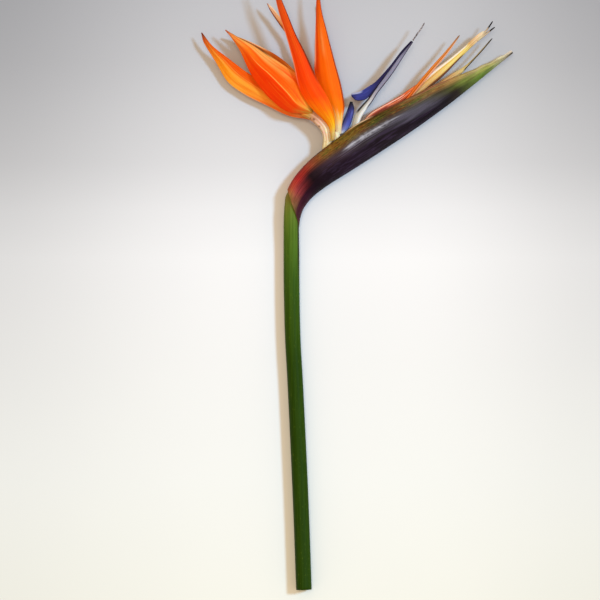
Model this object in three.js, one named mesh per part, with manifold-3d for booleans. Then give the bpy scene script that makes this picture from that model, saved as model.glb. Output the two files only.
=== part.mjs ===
// Bird of paradise flower: one cut stem with its boat-shaped spathe, two open florets and the tips
// of four florets still in bud. Units are millimetres. The flower lies on its side on the plane
// z = 0: +Y runs up the stem, +X follows the beak, and +Z points up from the surface.

import * as THREE from 'three';
import Module from 'manifold-3d';

const wasm = await Module();
wasm.setup();

// Driving dimensions
const SPATHE_WALL = 1.6;
const COLLAR_WALL = 0.6;
const COLLAR_SLANT_SPANS = 2.5;
const LIP_GAP_CLOSED = 0.5;
const KEEL_SHARPNESS = 0.35;
const KEEL_RANGE = [0.1, 0.4];
const STEM_RADIUS = 5.45;
const STEM_HEIGHT = 5.34;
const SEPAL_THICKNESS = { edge: 0.7, rib: 1.3 };
const HOOD_THICKNESS = { edge: 0.7, rib: 1.0 };
const VANE_THICKNESS = { edge: 0.8, rib: 1.2 };

// How the wall of the spathe behaves: how fast it grows from the collar, how steeply the slant of
// the collar fades, its largest share of the depth, and how far the inner lip rounds over
const COLLAR_WALL_GROWTH = 12;
const COLLAR_SLANT_FADE = 6;
const WALL_SHARE_OF_DEPTH = 0.24;
const LIP_ROUNDING = 0.9;

// Blades: how full the midrib is, and how much and from where the tip thins
const MIDRIB_FULLNESS = 1.5;
const TIP_THINNING = 0.15;
const TIP_START = 0.9;

// Resolution of the surfaces
const STEM_SIDES = 16;
const CLAW_SIDES = 10;
const BUD_SIDES = 8;
const STYLE_SIDES = 6;
const SPATHE_COLUMNS = 12;
const SEPAL_COLUMNS = 6;
const VANE_COLUMNS = 4;
const ROWS_PER_SPAN = 3;
const SPATHE_ROWS_PER_SPAN = 2;

// Colours of the fresh flower
const COLOUR = {
  stem: 0x4f7a24,
  spathe: 0x3a2430,
  claw: 0xf2d9a8,
  orange: 0xff6a00,
  redOrange: 0xf24a05,
  shadedOrange: 0xb4480f,
  blue: 0x35368c,
  style: 0x7d6a72,
  budRed: 0xe8623a,
  budYellow: 0xf0cf6a,
  budOlive: 0xa8963c,
};

// Stem, from the cut end to the rachis inside the spathe: x, y, height of its axis, radius
const STEM_LINE = [
  [2.8, -203, STEM_HEIGHT, STEM_RADIUS],
  [0.5, -140, STEM_HEIGHT, STEM_RADIUS],
  [-3, -64, STEM_HEIGHT, STEM_RADIUS],
  [-5, -28, STEM_HEIGHT, STEM_RADIUS],
  [-5.8, 4, STEM_HEIGHT, STEM_RADIUS],
  [-6, 34, 5.5, 5.35],
  [-6.4, 51, 6.2, 4.95],
  [-4.8, 68.8, 6.85, 4.6],
  [2.4, 79.4, 7.6, 4.5],
  [13.4, 87.2, 8, 3.9],
  [24, 92.4, 8.6, 3.2],
  [34, 97.6, 8.9, 2.5],
];

// Spathe, from its collar to the tip of the beak. Each station gives x and y of the axis, its
// height above the surface, the section's height from keel to lips, its depth and the lips' gap.
const SPATHE_STATIONS = [
  { at: [-5.7, 51, 6.2], height: 12.2, depth: 12.4, gap: LIP_GAP_CLOSED },
  { at: [-5.5, 59, 6.4], height: 12.4, depth: 12.8, gap: LIP_GAP_CLOSED },
  { at: [-2.8, 68.5, 6.8], height: 14.2, depth: 13.6, gap: LIP_GAP_CLOSED },
  { at: [3, 78.6, 7.3], height: 17.6, depth: 14.6, gap: LIP_GAP_CLOSED },
  { at: [13, 88.6, 8.0], height: 20.8, depth: 16, gap: 1.6 },
  { at: [28.5, 100.5, 8.8], height: 24.4, depth: 17.6, gap: 9 },
  { at: [50.3, 114.6, 8.9], height: 22.8, depth: 17.8, gap: 6.6 },
  { at: [75.1, 129.6, 8.8], height: 20.6, depth: 16.8, gap: 6.6 },
  { at: [100.4, 144.5, 8.6], height: 16, depth: 13.6, gap: 5.8 },
  { at: [117.5, 154.1, 8.5], height: 10.6, depth: 9.4, gap: 3.4 },
  { at: [130.3, 161.6, 8.5], height: 7.2, depth: 6, gap: 0.8 },
  { at: [138.2, 166.4, 8.5], height: 5, depth: 4.4, gap: 0.5 },
  { at: [148.4, 173, 8.5], height: 2.4, depth: 2.6, gap: 0.4 },
];

// Claws that carry the sepals of each open floret: x, y, height, radius
const CLAWS = {
  floret_1_claw: [
    [23.4, 96.4, 8.8, 2.2],
    [19.4, 104.6, 9, 2.7],
    [19.2, 113.2, 9.4, 3],
    [17.2, 120.4, 9.9, 3.1],
    [12.8, 126, 10.2, 2.9],
    [7.8, 129.8, 10.4, 2.5],
    [4.8, 131, 10.5, 2.2],
  ],
  floret_2_claw: [
    [29.8, 99.2, 9.2, 2.1],
    [28.6, 105, 9.6, 2.4],
    [26.6, 111, 10.2, 2.4],
    [25.4, 116, 11.2, 2.4],
  ],
};

// Sepals as two edges, base to tip. keel lifts the midrib by a share of the width.
const SEPALS = {
  floret_1_sepal_lower: {
    colour: COLOUR.orange,
    keel: 0.1,
    left: [
      [3.4, 127, 7.8], [-8.3, 129.2, 6.2], [-23.8, 136.5, 4.2], [-39.3, 144.5, 2.6],
      [-51, 153.4, 2.2], [-58.7, 166.2, 2.8], [-67.1, 179.9, 4.2], [-69.3, 187.2, 5],
    ],
    right: [
      [3.4, 131, 9], [-7, 137.2, 9], [-18.2, 145.6, 8.6], [-29.4, 154.3, 8.2],
      [-40.5, 161.8, 7.8], [-51, 169.9, 7.2], [-61.5, 178.3, 6.2], [-68.7, 187.5, 5.2],
    ],
  },
  floret_1_sepal_front: {
    colour: COLOUR.redOrange,
    keel: 0.2,
    left: [
      [6.2, 130, 13.3], [-8.3, 131.6, 12], [-19.6, 139.6, 11.6], [-29.3, 150.6, 11.4],
      [-35.7, 160.6, 11.4], [-42, 174.3, 11.2], [-47.8, 183.1, 11], [-52.6, 188.8, 11],
    ],
    right: [
      [8.8, 133.2, 13.4], [7.4, 141.6, 13], [2.8, 152.4, 12.6], [-4.9, 161.4, 12.4],
      [-18.4, 170.4, 12.6], [-31.6, 178.2, 12.4], [-43.4, 184, 11.8], [-52, 189.2, 11.2],
    ],
  },
  floret_1_sepal_back: {
    colour: COLOUR.shadedOrange,
    keel: 0.06,
    left: [
      [3.4, 131.4, 7.8], [-5.6, 142.1, 6.4], [-16.8, 152.6, 5.8], [-28, 163.8, 5.8],
      [-38.5, 175, 6.2], [-45.5, 182, 6.8], [-49.8, 186.1, 7.4],
    ],
    right: [
      [4.4, 134.4, 7.8], [1.4, 152.6, 6], [-5.4, 162.8, 5.2], [-17.6, 173.2, 4.8],
      [-33.6, 180.6, 5.2], [-43.4, 184.6, 6], [-49.4, 186.9, 7],
    ],
  },
  floret_2_sepal_front: {
    colour: COLOUR.redOrange,
    keel: 0.12,
    left: [
      [22.3, 112.5, 14.5], [19.6, 122.4, 15.6], [6.5, 135.6, 17.6], [-0.8, 148.3, 19.5],
      [-4.9, 166.2, 21.5], [-10, 185, 22.5], [-15.4, 202.4, 23.2], [-19.8, 223.8, 23.6],
    ],
    right: [
      [25.2, 114.8, 14.5], [26.6, 124.6, 16.2], [22.3, 137.5, 18.6], [12.6, 153.6, 20.2],
      [3.5, 172.5, 21.8], [-2.9, 185, 22.8], [-10, 202.4, 23.4], [-19, 224, 23.8],
    ],
  },
  floret_2_sepal_right: {
    colour: COLOUR.orange,
    keel: 0.12,
    left: [
      [25.4, 116.8, 11.7], [21.7, 129.5, 12.3], [15.4, 143.5, 12.6], [10.5, 158.2, 12.8],
      [10.3, 170.8, 13], [10.6, 184.8, 13.5], [11.2, 204.4, 14], [12.3, 224, 14.5],
    ],
    right: [
      [28.4, 117.6, 11.8], [29.4, 128, 12.6], [31.1, 135.8, 14], [28.8, 149.7, 14.6],
      [24.1, 167.3, 15], [19.5, 185, 15.2], [15, 203, 15.2], [13, 224, 14.8],
    ],
  },
  floret_2_sepal_left: {
    colour: COLOUR.orange,
    keel: 0.08,
    left: [
      [22.4, 117, 9.8], [17.4, 130.2, 9.8], [6.3, 145.6, 9.4], [-2.8, 165.2, 8.8],
      [-9.1, 183.4, 8.4], [-15.4, 196.6, 8.6], [-19.8, 202.4, 8.8], [-23.1, 207.5, 9],
    ],
    right: [
      [24.8, 117.2, 9.8], [22.4, 131.6, 10], [14, 151.2, 9.8], [3.5, 169.4, 9.2],
      [-5.6, 186.2, 8.6], [-14, 197.5, 8.8], [-18.9, 204.2, 9], [-22.5, 207.9, 9],
    ],
  },
};

// Blue petals of an open floret: two fused petals make the arrow, the third is a small hood. The
// outer edges of the arrow's vanes flare apart, the inner ones by a share of that.
const ARROW_SHAFT = [
  [34.6, 112.6, 9.6, 2],
  [39.2, 125.3, 10.4, 2.3],
  [44.6, 135.8, 10.8, 2.2],
  [49.8, 142.2, 11, 1.9],
  [56.8, 150.6, 11.2, 1.7],
  [63.9, 159.8, 11.4, 1.6],
  [71, 170.4, 11.6, 1.2],
  [78.8, 181.2, 11.8, 0.5],
];
const ARROW_SHAFT_DEPTH = 0.6;
const ARROW_VANE = {
  left: [
    [35.8, 144.2], [42.1, 146.2], [48.1, 150.5], [53.4, 153.7],
    [63, 163.8], [71.1, 173.5], [78.3, 180.9],
  ],
  right: [
    [36.3, 142.1], [39.9, 139.6], [46.8, 141], [54.8, 150],
    [62.4, 160.6], [70.2, 171.2], [78.8, 180.7],
  ],
  height: [11.2, 11.3, 11.4, 11.5, 11.6, 11.7, 11.8],
  flare: [2.2, 2, 1.8, 1.5, 1.1, 0.7, 0.3],
  innerShare: 0.25,
};
const STYLE_LINE = [
  [79, 181.5, 11.9, 0.45],
  [81.6, 185.4, 12.1, 0.5],
  [84.4, 189.2, 12.4, 0.45],
  [87.2, 193.9, 12.8, 0.4],
];
const HOOD = {
  colour: COLOUR.blue,
  keel: 0.3,
  left: [
    [28.2, 116.4, 10.6], [29.9, 121.6, 10.8], [31.9, 128, 11.2],
    [33.7, 133.8, 11.6], [35.2, 138.4, 12],
  ],
  right: [
    [30.4, 116.6, 10.6], [34.6, 121.6, 10.8], [36.6, 126.3, 11.2],
    [37.4, 132.3, 11.6], [35.8, 138.6, 12],
  ],
};

// The first floret's blue petals repeat the second's, turned about the slit and lower down
const FIRST_ARROW_TURN = { from: [39.9, 125.3, 10.4], to: [23.1, 124.6, 5.9], angle: 41.5, tilt: 4 };
const FIRST_HOOD_TURN = { from: [29.3, 116.5, 10.6], to: [26.8, 118.9, 7.8], angle: 24, tilt: 0 };

// Florets still in bud, from the end of the rachis to their tips: x, y, height, radius
const BUDS = {
  bud_1: {
    colour: COLOUR.budRed,
    lines: [[
      [42, 116.4, 7.4, 1.5],
      [51, 127, 8.2, 2.1],
      [64.2, 136.8, 8.6, 2.1],
      [74, 144, 8.6, 1.4],
      [80.5, 150.6, 8.5, 0.5],
    ]],
  },
  bud_2: {
    colour: COLOUR.orange,
    lines: [[
      [43.6, 112.4, 9.5, 1.2],
      [54.6, 122, 9.5, 1.4],
      [70, 135, 10.1, 1.2],
      [81.2, 149, 11, 1.3],
      [91.4, 161.4, 11.4, 1.5],
      [102.1, 173.8, 11, 1.2],
      [111.8, 185.4, 11, 0.45],
    ]],
  },
  bud_3: {
    colour: COLOUR.budYellow,
    depth: 0.5,
    lines: [
      [
        [35, 98.4, 9, 1.6],
        [50.8, 113.4, 8.6, 2.2],
        [73, 131, 7.8, 2.8],
        [91, 154, 7.8, 3.6],
        [101, 161.7, 8, 3.8],
        [110.6, 169.4, 8.5, 2.8],
        [119.7, 177.5, 9, 1.9],
        [129, 186.2, 9.6, 0.9],
      ],
      [[124, 181.6, 9.3, 0.9], [130, 188, 9.9, 0.7], [135, 195.2, 10.6, 0.4]],
      [[124, 181.6, 9.3, 0.9], [130.6, 186.6, 9.2, 0.7], [136.6, 191.2, 9, 0.4]],
    ],
  },
  bud_4: {
    colour: COLOUR.budOlive,
    lines: [[
      [39.2, 97.4, 9, 1.2],
      [53.4, 109, 9, 1.5],
      [75.6, 124.6, 8.8, 1.6],
      [98.7, 143.2, 8.7, 1.6],
      [110.6, 155.8, 8.7, 1.3],
      [118.6, 163.6, 8.8, 1.1],
      [126.2, 173.2, 9, 0.7],
      [134.8, 183.2, 9.2, 0.4],
    ]],
  },
};

const UP = new THREE.Vector3(0, 0, 1);

/** A smooth curve through points given as lists of three numbers. */
function curveThrough(points) {
  const vectors = points.map(([x, y, z]) => new THREE.Vector3(x, y, z));
  return new THREE.CatmullRomCurve3(vectors, false, 'catmullrom', 0.5);
}

/** A smooth function of 0 to 1 through evenly spaced values. */
function valueAlong(values) {
  const curve = curveThrough(values.map((value) => [value, 0, 0]));
  return (t) => curve.getPoint(t).x;
}

/** Axes of a section at t on a curve: across it in the plane of the surface, and up. */
function sectionAxes(curve, t) {
  const tangent = curve.getTangent(t);
  const side = new THREE.Vector3().crossVectors(UP, tangent).normalize();
  const rise = new THREE.Vector3().crossVectors(tangent, side).normalize();
  return { side, rise };
}

/** Keeps a point from reaching below the surface that the flower lies on. */
function onSurface(point) {
  point.z = Math.max(point.z, 0);
  return point;
}

/** A closed solid through matching rings. Both halves of a ring are split into triangles alike. */
function loft(rings) {
  const around = rings[0].length;
  const half = around / 2;
  const points = rings.flat();
  const index = [];
  for (let row = 0; row < rings.length - 1; row += 1) {
    for (let i = 0; i < around; i += 1) {
      const a = row * around + i;
      const b = row * around + ((i + 1) % around);
      if (i < half) {
        index.push(a, b, b + around, a, b + around, a + around);
      } else {
        index.push(a, b, a + around, b, b + around, a + around);
      }
    }
  }
  const last = (rings.length - 1) * around;
  for (let i = 0; i < half - 1; i += 1) {
    const j = around - 1 - i;
    index.push(i + 1, i, j, i + 1, j, j - 1);
    index.push(last + i, last + i + 1, last + j, last + i + 1, last + j - 1, last + j);
  }
  return closedGeometry(points, index);
}

/** A geometry from points and triangles, with its faces turned to point out. */
function closedGeometry(points, index) {
  let volume = 0;
  for (let i = 0; i < index.length; i += 3) {
    const [a, b, c] = [points[index[i]], points[index[i + 1]], points[index[i + 2]]];
    volume += a.dot(new THREE.Vector3().crossVectors(b, c));
  }
  const geometry = new THREE.BufferGeometry();
  const positions = points.flatMap((point) => point.toArray());
  geometry.setAttribute('position', new THREE.Float32BufferAttribute(positions, 3));
  geometry.setIndex(volume < 0 ? index.reverse() : index);
  return geometry;
}

/** One solid out of several that overlap. */
function join(geometries) {
  const solids = geometries.map((geometry) => new wasm.Manifold(new wasm.Mesh({
    numProp: 3,
    vertProperties: new Float32Array(geometry.getAttribute('position').array),
    triVerts: new Uint32Array(geometry.getIndex().array),
  })));
  const mesh = solids.reduce((whole, solid) => whole.add(solid)).getMesh();
  const joined = new THREE.BufferGeometry();
  joined.setAttribute('position', new THREE.BufferAttribute(mesh.vertProperties, 3));
  joined.setIndex(new THREE.BufferAttribute(mesh.triVerts, 1));
  return joined;
}

/** A rod along a line of [x, y, z, radius], depth being its height over its width. */
function rod(line, sides, depth = 1) {
  const curve = curveThrough(line);
  const radius = valueAlong(line.map((point) => point[3]));
  const rows = (line.length - 1) * ROWS_PER_SPAN;
  const rings = [];
  for (let row = 0; row <= rows; row += 1) {
    const t = row / rows;
    const { side, rise } = sectionAxes(curve, t);
    const ring = [];
    for (let i = 0; i < sides; i += 1) {
      const angle = ((i + 0.5) / sides) * 2 * Math.PI;
      const point = curve.getPoint(t);
      point.addScaledVector(side, radius(t) * Math.cos(angle));
      point.addScaledVector(rise, radius(t) * depth * Math.sin(angle));
      ring.push(onSurface(point));
    }
    rings.push(ring);
  }
  return loft(rings);
}

/** A leaf-like blade between two edges, thickest and lifted at its midrib. */
function blade({ left, right, keel }, thickness, columns = SEPAL_COLUMNS) {
  const leftEdge = curveThrough(left);
  const rightEdge = curveThrough(right);
  const rows = (left.length - 1) * ROWS_PER_SPAN;
  const rings = [];
  for (let row = 0; row <= rows; row += 1) {
    const t = row / rows;
    const start = leftEdge.getPoint(t);
    const across = rightEdge.getPoint(t).sub(start);
    const along = leftEdge.getTangent(t).add(rightEdge.getTangent(t));
    const normal = new THREE.Vector3().crossVectors(across, along).normalize();
    const face = [];
    const back = [];
    for (let column = 0; column <= columns; column += 1) {
      const u = column / columns;
      const fullness = 1 - Math.abs(2 * u - 1) ** MIDRIB_FULLNESS;
      const middle = start.clone().addScaledVector(across, u);
      middle.addScaledVector(normal, keel * across.length() * fullness);
      const thick = THREE.MathUtils.lerp(thickness.edge, thickness.rib, fullness) * taper(t);
      face.push(middle.clone().addScaledVector(normal, thick / 2));
      back.unshift(middle.clone().addScaledVector(normal, -thick / 2));
    }
    rings.push([...face, ...back]);
  }
  return loft(rings);
}

/** Thins a blade a little towards its tip. */
function taper(t) {
  return 1 - TIP_THINNING * THREE.MathUtils.smoothstep(t, TIP_START, 1);
}

/** The spathe: a shell with an open C section whose slit faces away from the keel. */
function spathe(stations, columns = SPATHE_COLUMNS) {
  const axis = curveThrough(stations.map((station) => station.at));
  const height = valueAlong(stations.map((station) => station.height));
  const depth = valueAlong(stations.map((station) => station.depth));
  const gap = valueAlong(stations.map((station) => station.gap));
  const rows = (stations.length - 1) * SPATHE_ROWS_PER_SPAN;
  const slantShare = COLLAR_SLANT_SPANS / (stations.length - 1);
  const rings = [];
  for (let row = 0; row <= rows; row += 1) {
    const t = row / rows;
    const outer = [];
    const inner = [];
    for (let column = -columns; column <= columns; column += 1) {
      const phi = Math.PI * (1 - Math.abs(column) / columns);
      const toSlit = (1 + Math.cos(phi)) / 2;
      const s = t + slantShare * toSlit * (1 - t) ** COLLAR_SLANT_FADE;
      const { side, rise } = sectionAxes(axis, s);
      const wall = Math.min(
        SPATHE_WALL,
        COLLAR_WALL + COLLAR_WALL_GROWTH * t * SPATHE_WALL,
        WALL_SHARE_OF_DEPTH * depth(s),
      );
      const sign = Math.sign(column);
      const sharp = KEEL_SHARPNESS * THREE.MathUtils.smoothstep(s, ...KEEL_RANGE);
      const [outN, outZ] = spatheSection(phi, height(s) / 2, depth(s) / 2, gap(s) / 2 + wall, sharp);
      const [inN, inZ] = spatheSection(phi, height(s) / 2 - wall, depth(s) / 2 - wall, gap(s) / 2, sharp);
      const lift = wall * toSlit ** 2 * LIP_ROUNDING;
      const place = (n, z) => onSurface(
        axis.getPoint(s).addScaledVector(side, n).addScaledVector(rise, sign * z),
      );
      outer.push(place(outN, outZ));
      inner.unshift(place(inN + lift, inZ));
    }
    rings.push([...outer, ...inner]);
  }
  return loft(rings);
}

/** A point of the spathe's section, phi running from the lip (0) to the keel (pi). */
function spatheSection(phi, halfHeight, halfDepth, lip, sharp) {
  const below = Math.max(0, -Math.cos(phi));
  const tent = 1 - (2 * (Math.PI - phi)) / Math.PI;
  const drop = THREE.MathUtils.lerp(below, Math.max(0, tent), sharp);
  const n = phi < Math.PI / 2 ? Math.cos(phi) : -drop;
  const z = (halfDepth - lip / 2) * Math.sin(phi) + (lip * (1 + Math.cos(phi))) / 2;
  return [n * halfHeight, z];
}

/** The arrow: a flat shaft with a flared vane for each of its two fused petals. */
function arrow() {
  const { left, right, height, flare, innerShare } = ARROW_VANE;
  const edge = (points, share) => points.map(([x, y], i) => [x, y, height[i] + share * flare[i]]);
  const vanes = [1, -1].map((sign) => blade(
    { left: edge(left, sign), right: edge(right, sign * innerShare), keel: 0 },
    VANE_THICKNESS,
    VANE_COLUMNS,
  ));
  return join([rod(ARROW_SHAFT, CLAW_SIDES, ARROW_SHAFT_DEPTH), ...vanes]);
}

/** A mesh of one sub-part in its own colour. */
function piece(name, geometry, colour, roughness = 0.5) {
  const material = new THREE.MeshStandardMaterial({ color: colour, roughness, metalness: 0 });
  const mesh = new THREE.Mesh(geometry, material);
  mesh.name = name;
  return mesh;
}

/** Moves pieces from one point to another, turned left by an angle and tipped down along +Y. */
function turned(pieces, { from, to, angle, tilt }) {
  const inner = new THREE.Group();
  inner.position.set(-from[0], -from[1], -from[2]);
  inner.add(...pieces);
  const outer = new THREE.Group();
  outer.position.set(...to);
  outer.rotation.order = 'XYZ';
  outer.rotation.x = THREE.MathUtils.degToRad(-tilt);
  outer.rotation.z = THREE.MathUtils.degToRad(angle);
  outer.add(inner);
  return outer;
}

const flower = new THREE.Group();

flower.add(piece('stem', rod(STEM_LINE, STEM_SIDES), COLOUR.stem, 0.55));
flower.add(piece('spathe', spathe(SPATHE_STATIONS), COLOUR.spathe, 0.35));
for (const [name, line] of Object.entries(CLAWS)) {
  flower.add(piece(name, rod(line, CLAW_SIDES), COLOUR.claw));
}
for (const [name, sepal] of Object.entries(SEPALS)) {
  flower.add(piece(name, blade(sepal, SEPAL_THICKNESS), sepal.colour, 0.45));
}
flower.add(piece('floret_2_arrow', arrow(), COLOUR.blue));
flower.add(piece('floret_2_style', rod(STYLE_LINE, STYLE_SIDES), COLOUR.style));
flower.add(piece('floret_2_hood', blade(HOOD, HOOD_THICKNESS), COLOUR.blue));
flower.add(turned([
  piece('floret_1_arrow', arrow(), COLOUR.blue),
  piece('floret_1_style', rod(STYLE_LINE, STYLE_SIDES), COLOUR.style),
], FIRST_ARROW_TURN));
flower.add(turned([piece('floret_1_hood', blade(HOOD, HOOD_THICKNESS), COLOUR.blue)], FIRST_HOOD_TURN));
for (const [name, bud] of Object.entries(BUDS)) {
  const rods = bud.lines.map((line) => rod(line, BUD_SIDES, bud.depth));
  flower.add(piece(name, rods.length > 1 ? join(rods) : rods[0], bud.colour));
}

// The origin is the middle of the flower's footprint, on the surface that it lies on
const box = new THREE.Box3().setFromObject(flower, true);
const middle = box.getCenter(new THREE.Vector3());
flower.position.set(-middle.x, -middle.y, -box.min.z);

export default flower;
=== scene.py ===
"""Bird of paradise flower, lying on a pale floor: the looks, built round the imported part.

Places are in millimetres in the flower's drawing: x and y in the plane of the floor, z above it.
to_frame() turns them into the part's frame, in metres. Colours are linear red, green and blue.
"""

import math

import bpy
import numpy as np
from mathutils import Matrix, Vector


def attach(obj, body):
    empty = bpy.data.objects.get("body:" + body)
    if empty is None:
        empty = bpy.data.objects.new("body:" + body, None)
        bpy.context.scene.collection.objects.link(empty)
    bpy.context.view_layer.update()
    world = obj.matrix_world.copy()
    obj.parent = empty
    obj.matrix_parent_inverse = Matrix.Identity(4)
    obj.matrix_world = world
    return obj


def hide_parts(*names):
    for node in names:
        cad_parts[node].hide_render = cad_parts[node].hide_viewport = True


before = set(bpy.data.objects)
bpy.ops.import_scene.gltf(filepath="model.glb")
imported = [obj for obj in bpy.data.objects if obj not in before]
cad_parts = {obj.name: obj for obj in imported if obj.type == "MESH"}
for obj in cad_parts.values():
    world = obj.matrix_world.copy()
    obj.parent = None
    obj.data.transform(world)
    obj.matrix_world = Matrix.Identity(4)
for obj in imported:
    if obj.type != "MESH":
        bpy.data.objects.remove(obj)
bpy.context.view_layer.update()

MM = 0.001
TINY = 1e-12
SURFACE_MAP = "across_along"
UP = np.array([0.0, 0.0, 1.0])

# The camera looks straight down on the flower, with the picture 420 mm wide at the flower's height.
# It sees as far as FARTHEST_SEEN, which is in metres.
PICTURE_WIDTH = 420
CAMERA_HEIGHT = 2200
FLOWER_HEIGHT = 10
SENSOR = 36
FARTHEST_SEEN = 100

# Floor: metres from its middle to its edges, and mm below the flower. It has painted shade, greyer at
# both
# sides: a row says where that starts and ends, in mm, and by which share at the picture's foot and
# higher up.
FLOOR_REACH = 6.0
FLOOR_DROP = 0.3
FLOOR_SHADED_SIDES = [(-28, -245, 0.1, 0.36), (70, 238, 0.08, 0.3)]

# Lamps: name, where the light comes from, its angular size in degrees, strength, colour
LAMPS = [
    ("key", (0.85, 0.36, 1), 9, 2.6, (0.39, 0.69, 1.0)),
    ("overhead", (-0.09, 0.14, 1), 20, 0.8, (1.0, 0.93, 0.75)),
]
FILL_COLOUR = (1.0, 0.79, 0.555)
FILL_STRENGTH = 0.672
BACKDROP_COLOUR = (0.78, 0.77, 0.75)

# Stem: x, y, height of its axis, radius. Its lower half lies level and is evenly thick.
STEM_RADIUS = 5.45
STEM_HEIGHT = 5.34
CUT_DEPTH = 0.4 * STEM_RADIUS
STEM_FOOT = [[2.8, -203], [0.5, -140], [-3, -64], [-5, -28], [-5.8, 4]]
STEM_LINE = [[*place, STEM_HEIGHT, STEM_RADIUS] for place in STEM_FOOT] + [
    [-6, 34, 5.5, 5.45], [-6.1, 51, 6.1, 5.4], [-6, 59.5, 6.5, 5.3], [-5.5, 66.5, 6.8, 5.2],
    [-4.3, 72.9, 7.1, 5.15], [2.4, 79.4, 7.6, 4.5], [13.4, 87.2, 8, 3.9], [24, 92.4, 8.6, 3.2],
    [34, 97.6, 8.9, 2.5],
]
# Rings of the cut face: share of the radius, mm below the rim
CUT_FACE_RINGS = [(0.02, 0.45), (0.3, 0.35), (0.55, 0.25), (0.78, 0.12), (0.92, 0.0), (0.985, -0.1)]

# Spathe: x, y, z of its axis, height from keel to lips, depth, gap between the lips
SPATHE_STATIONS = [
    [-6.3, 51, 6.1, 11.3, 11.6, 0.5], [-5.6, 59, 6.4, 12.2, 12.6, 0.5],
    [-3.5, 68.8, 6.8, 15.6, 13.6, 0.5], [2.6, 79, 7.3, 18.9, 14.6, 0.5],
    [13.8, 89.6, 8, 21.9, 16, 1.6], [28.8, 100.1, 8.8, 23.8, 17.6, 9],
    [50.3, 114.7, 8.9, 25.2, 17.8, 6.6], [75.3, 129.2, 8.8, 21.6, 16.8, 6.6],
    [100.5, 144.3, 8.6, 16.4, 13.6, 5.8], [117.5, 154.1, 8.5, 10.6, 9.4, 3.4],
    [130.1, 161.9, 8.5, 6.7, 6, 0.8], [138, 166.8, 8.5, 4.4, 4.4, 0.5],
    [148.6, 173.9, 8.5, 2.3, 2.6, 0.4],
]
SPATHE_WALL = 1.6
COLLAR_WALL = 0.3
COLLAR_WALL_GROWTH = 9
COLLAR_SLANT_SPANS = 2.5
COLLAR_SLANT_CURVE = 0.62
COLLAR_SLANT_FADE = 6
WALL_SHARE_OF_DEPTH = 0.24
LIP_ROUNDING = 0.9
LIP_THINNING = 0.35
LIP_RIPPLE = 0.16
LIP_RIPPLE_RANGE = (0.38, 0.5)
LIP_THINNING_RANGE = (0.1, 0.3)
KEEL_SHARPNESS = 0.35
KEEL_RANGE = (0.1, 0.4)
INNER_FACE_OFFSET = 0.03

# Claws: x, y, height, radius. Each runs on into its sepals by a share of its last span.
CLAWS = {
    "floret_1_claw": [
        [23.4, 96.4, 8.8, 2.2], [19.2, 104.6, 9, 3.4], [19.4, 113.2, 9.4, 3.2],
        [17.7, 120.4, 9.9, 3.7], [13.2, 126, 10.2, 3.9], [8.2, 129.6, 10.2, 3.7],
        [3.6, 131.6, 10.2, 3],
    ],
    "floret_2_claw": [
        [29.8, 99.2, 9.2, 2.1], [28.6, 105, 9.6, 2.4], [26.6, 111, 10.2, 2.4], [25.4, 116, 11.2, 2.4],
    ],
}
CLAW_ROOT_IN_SEPALS = 0.4

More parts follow.
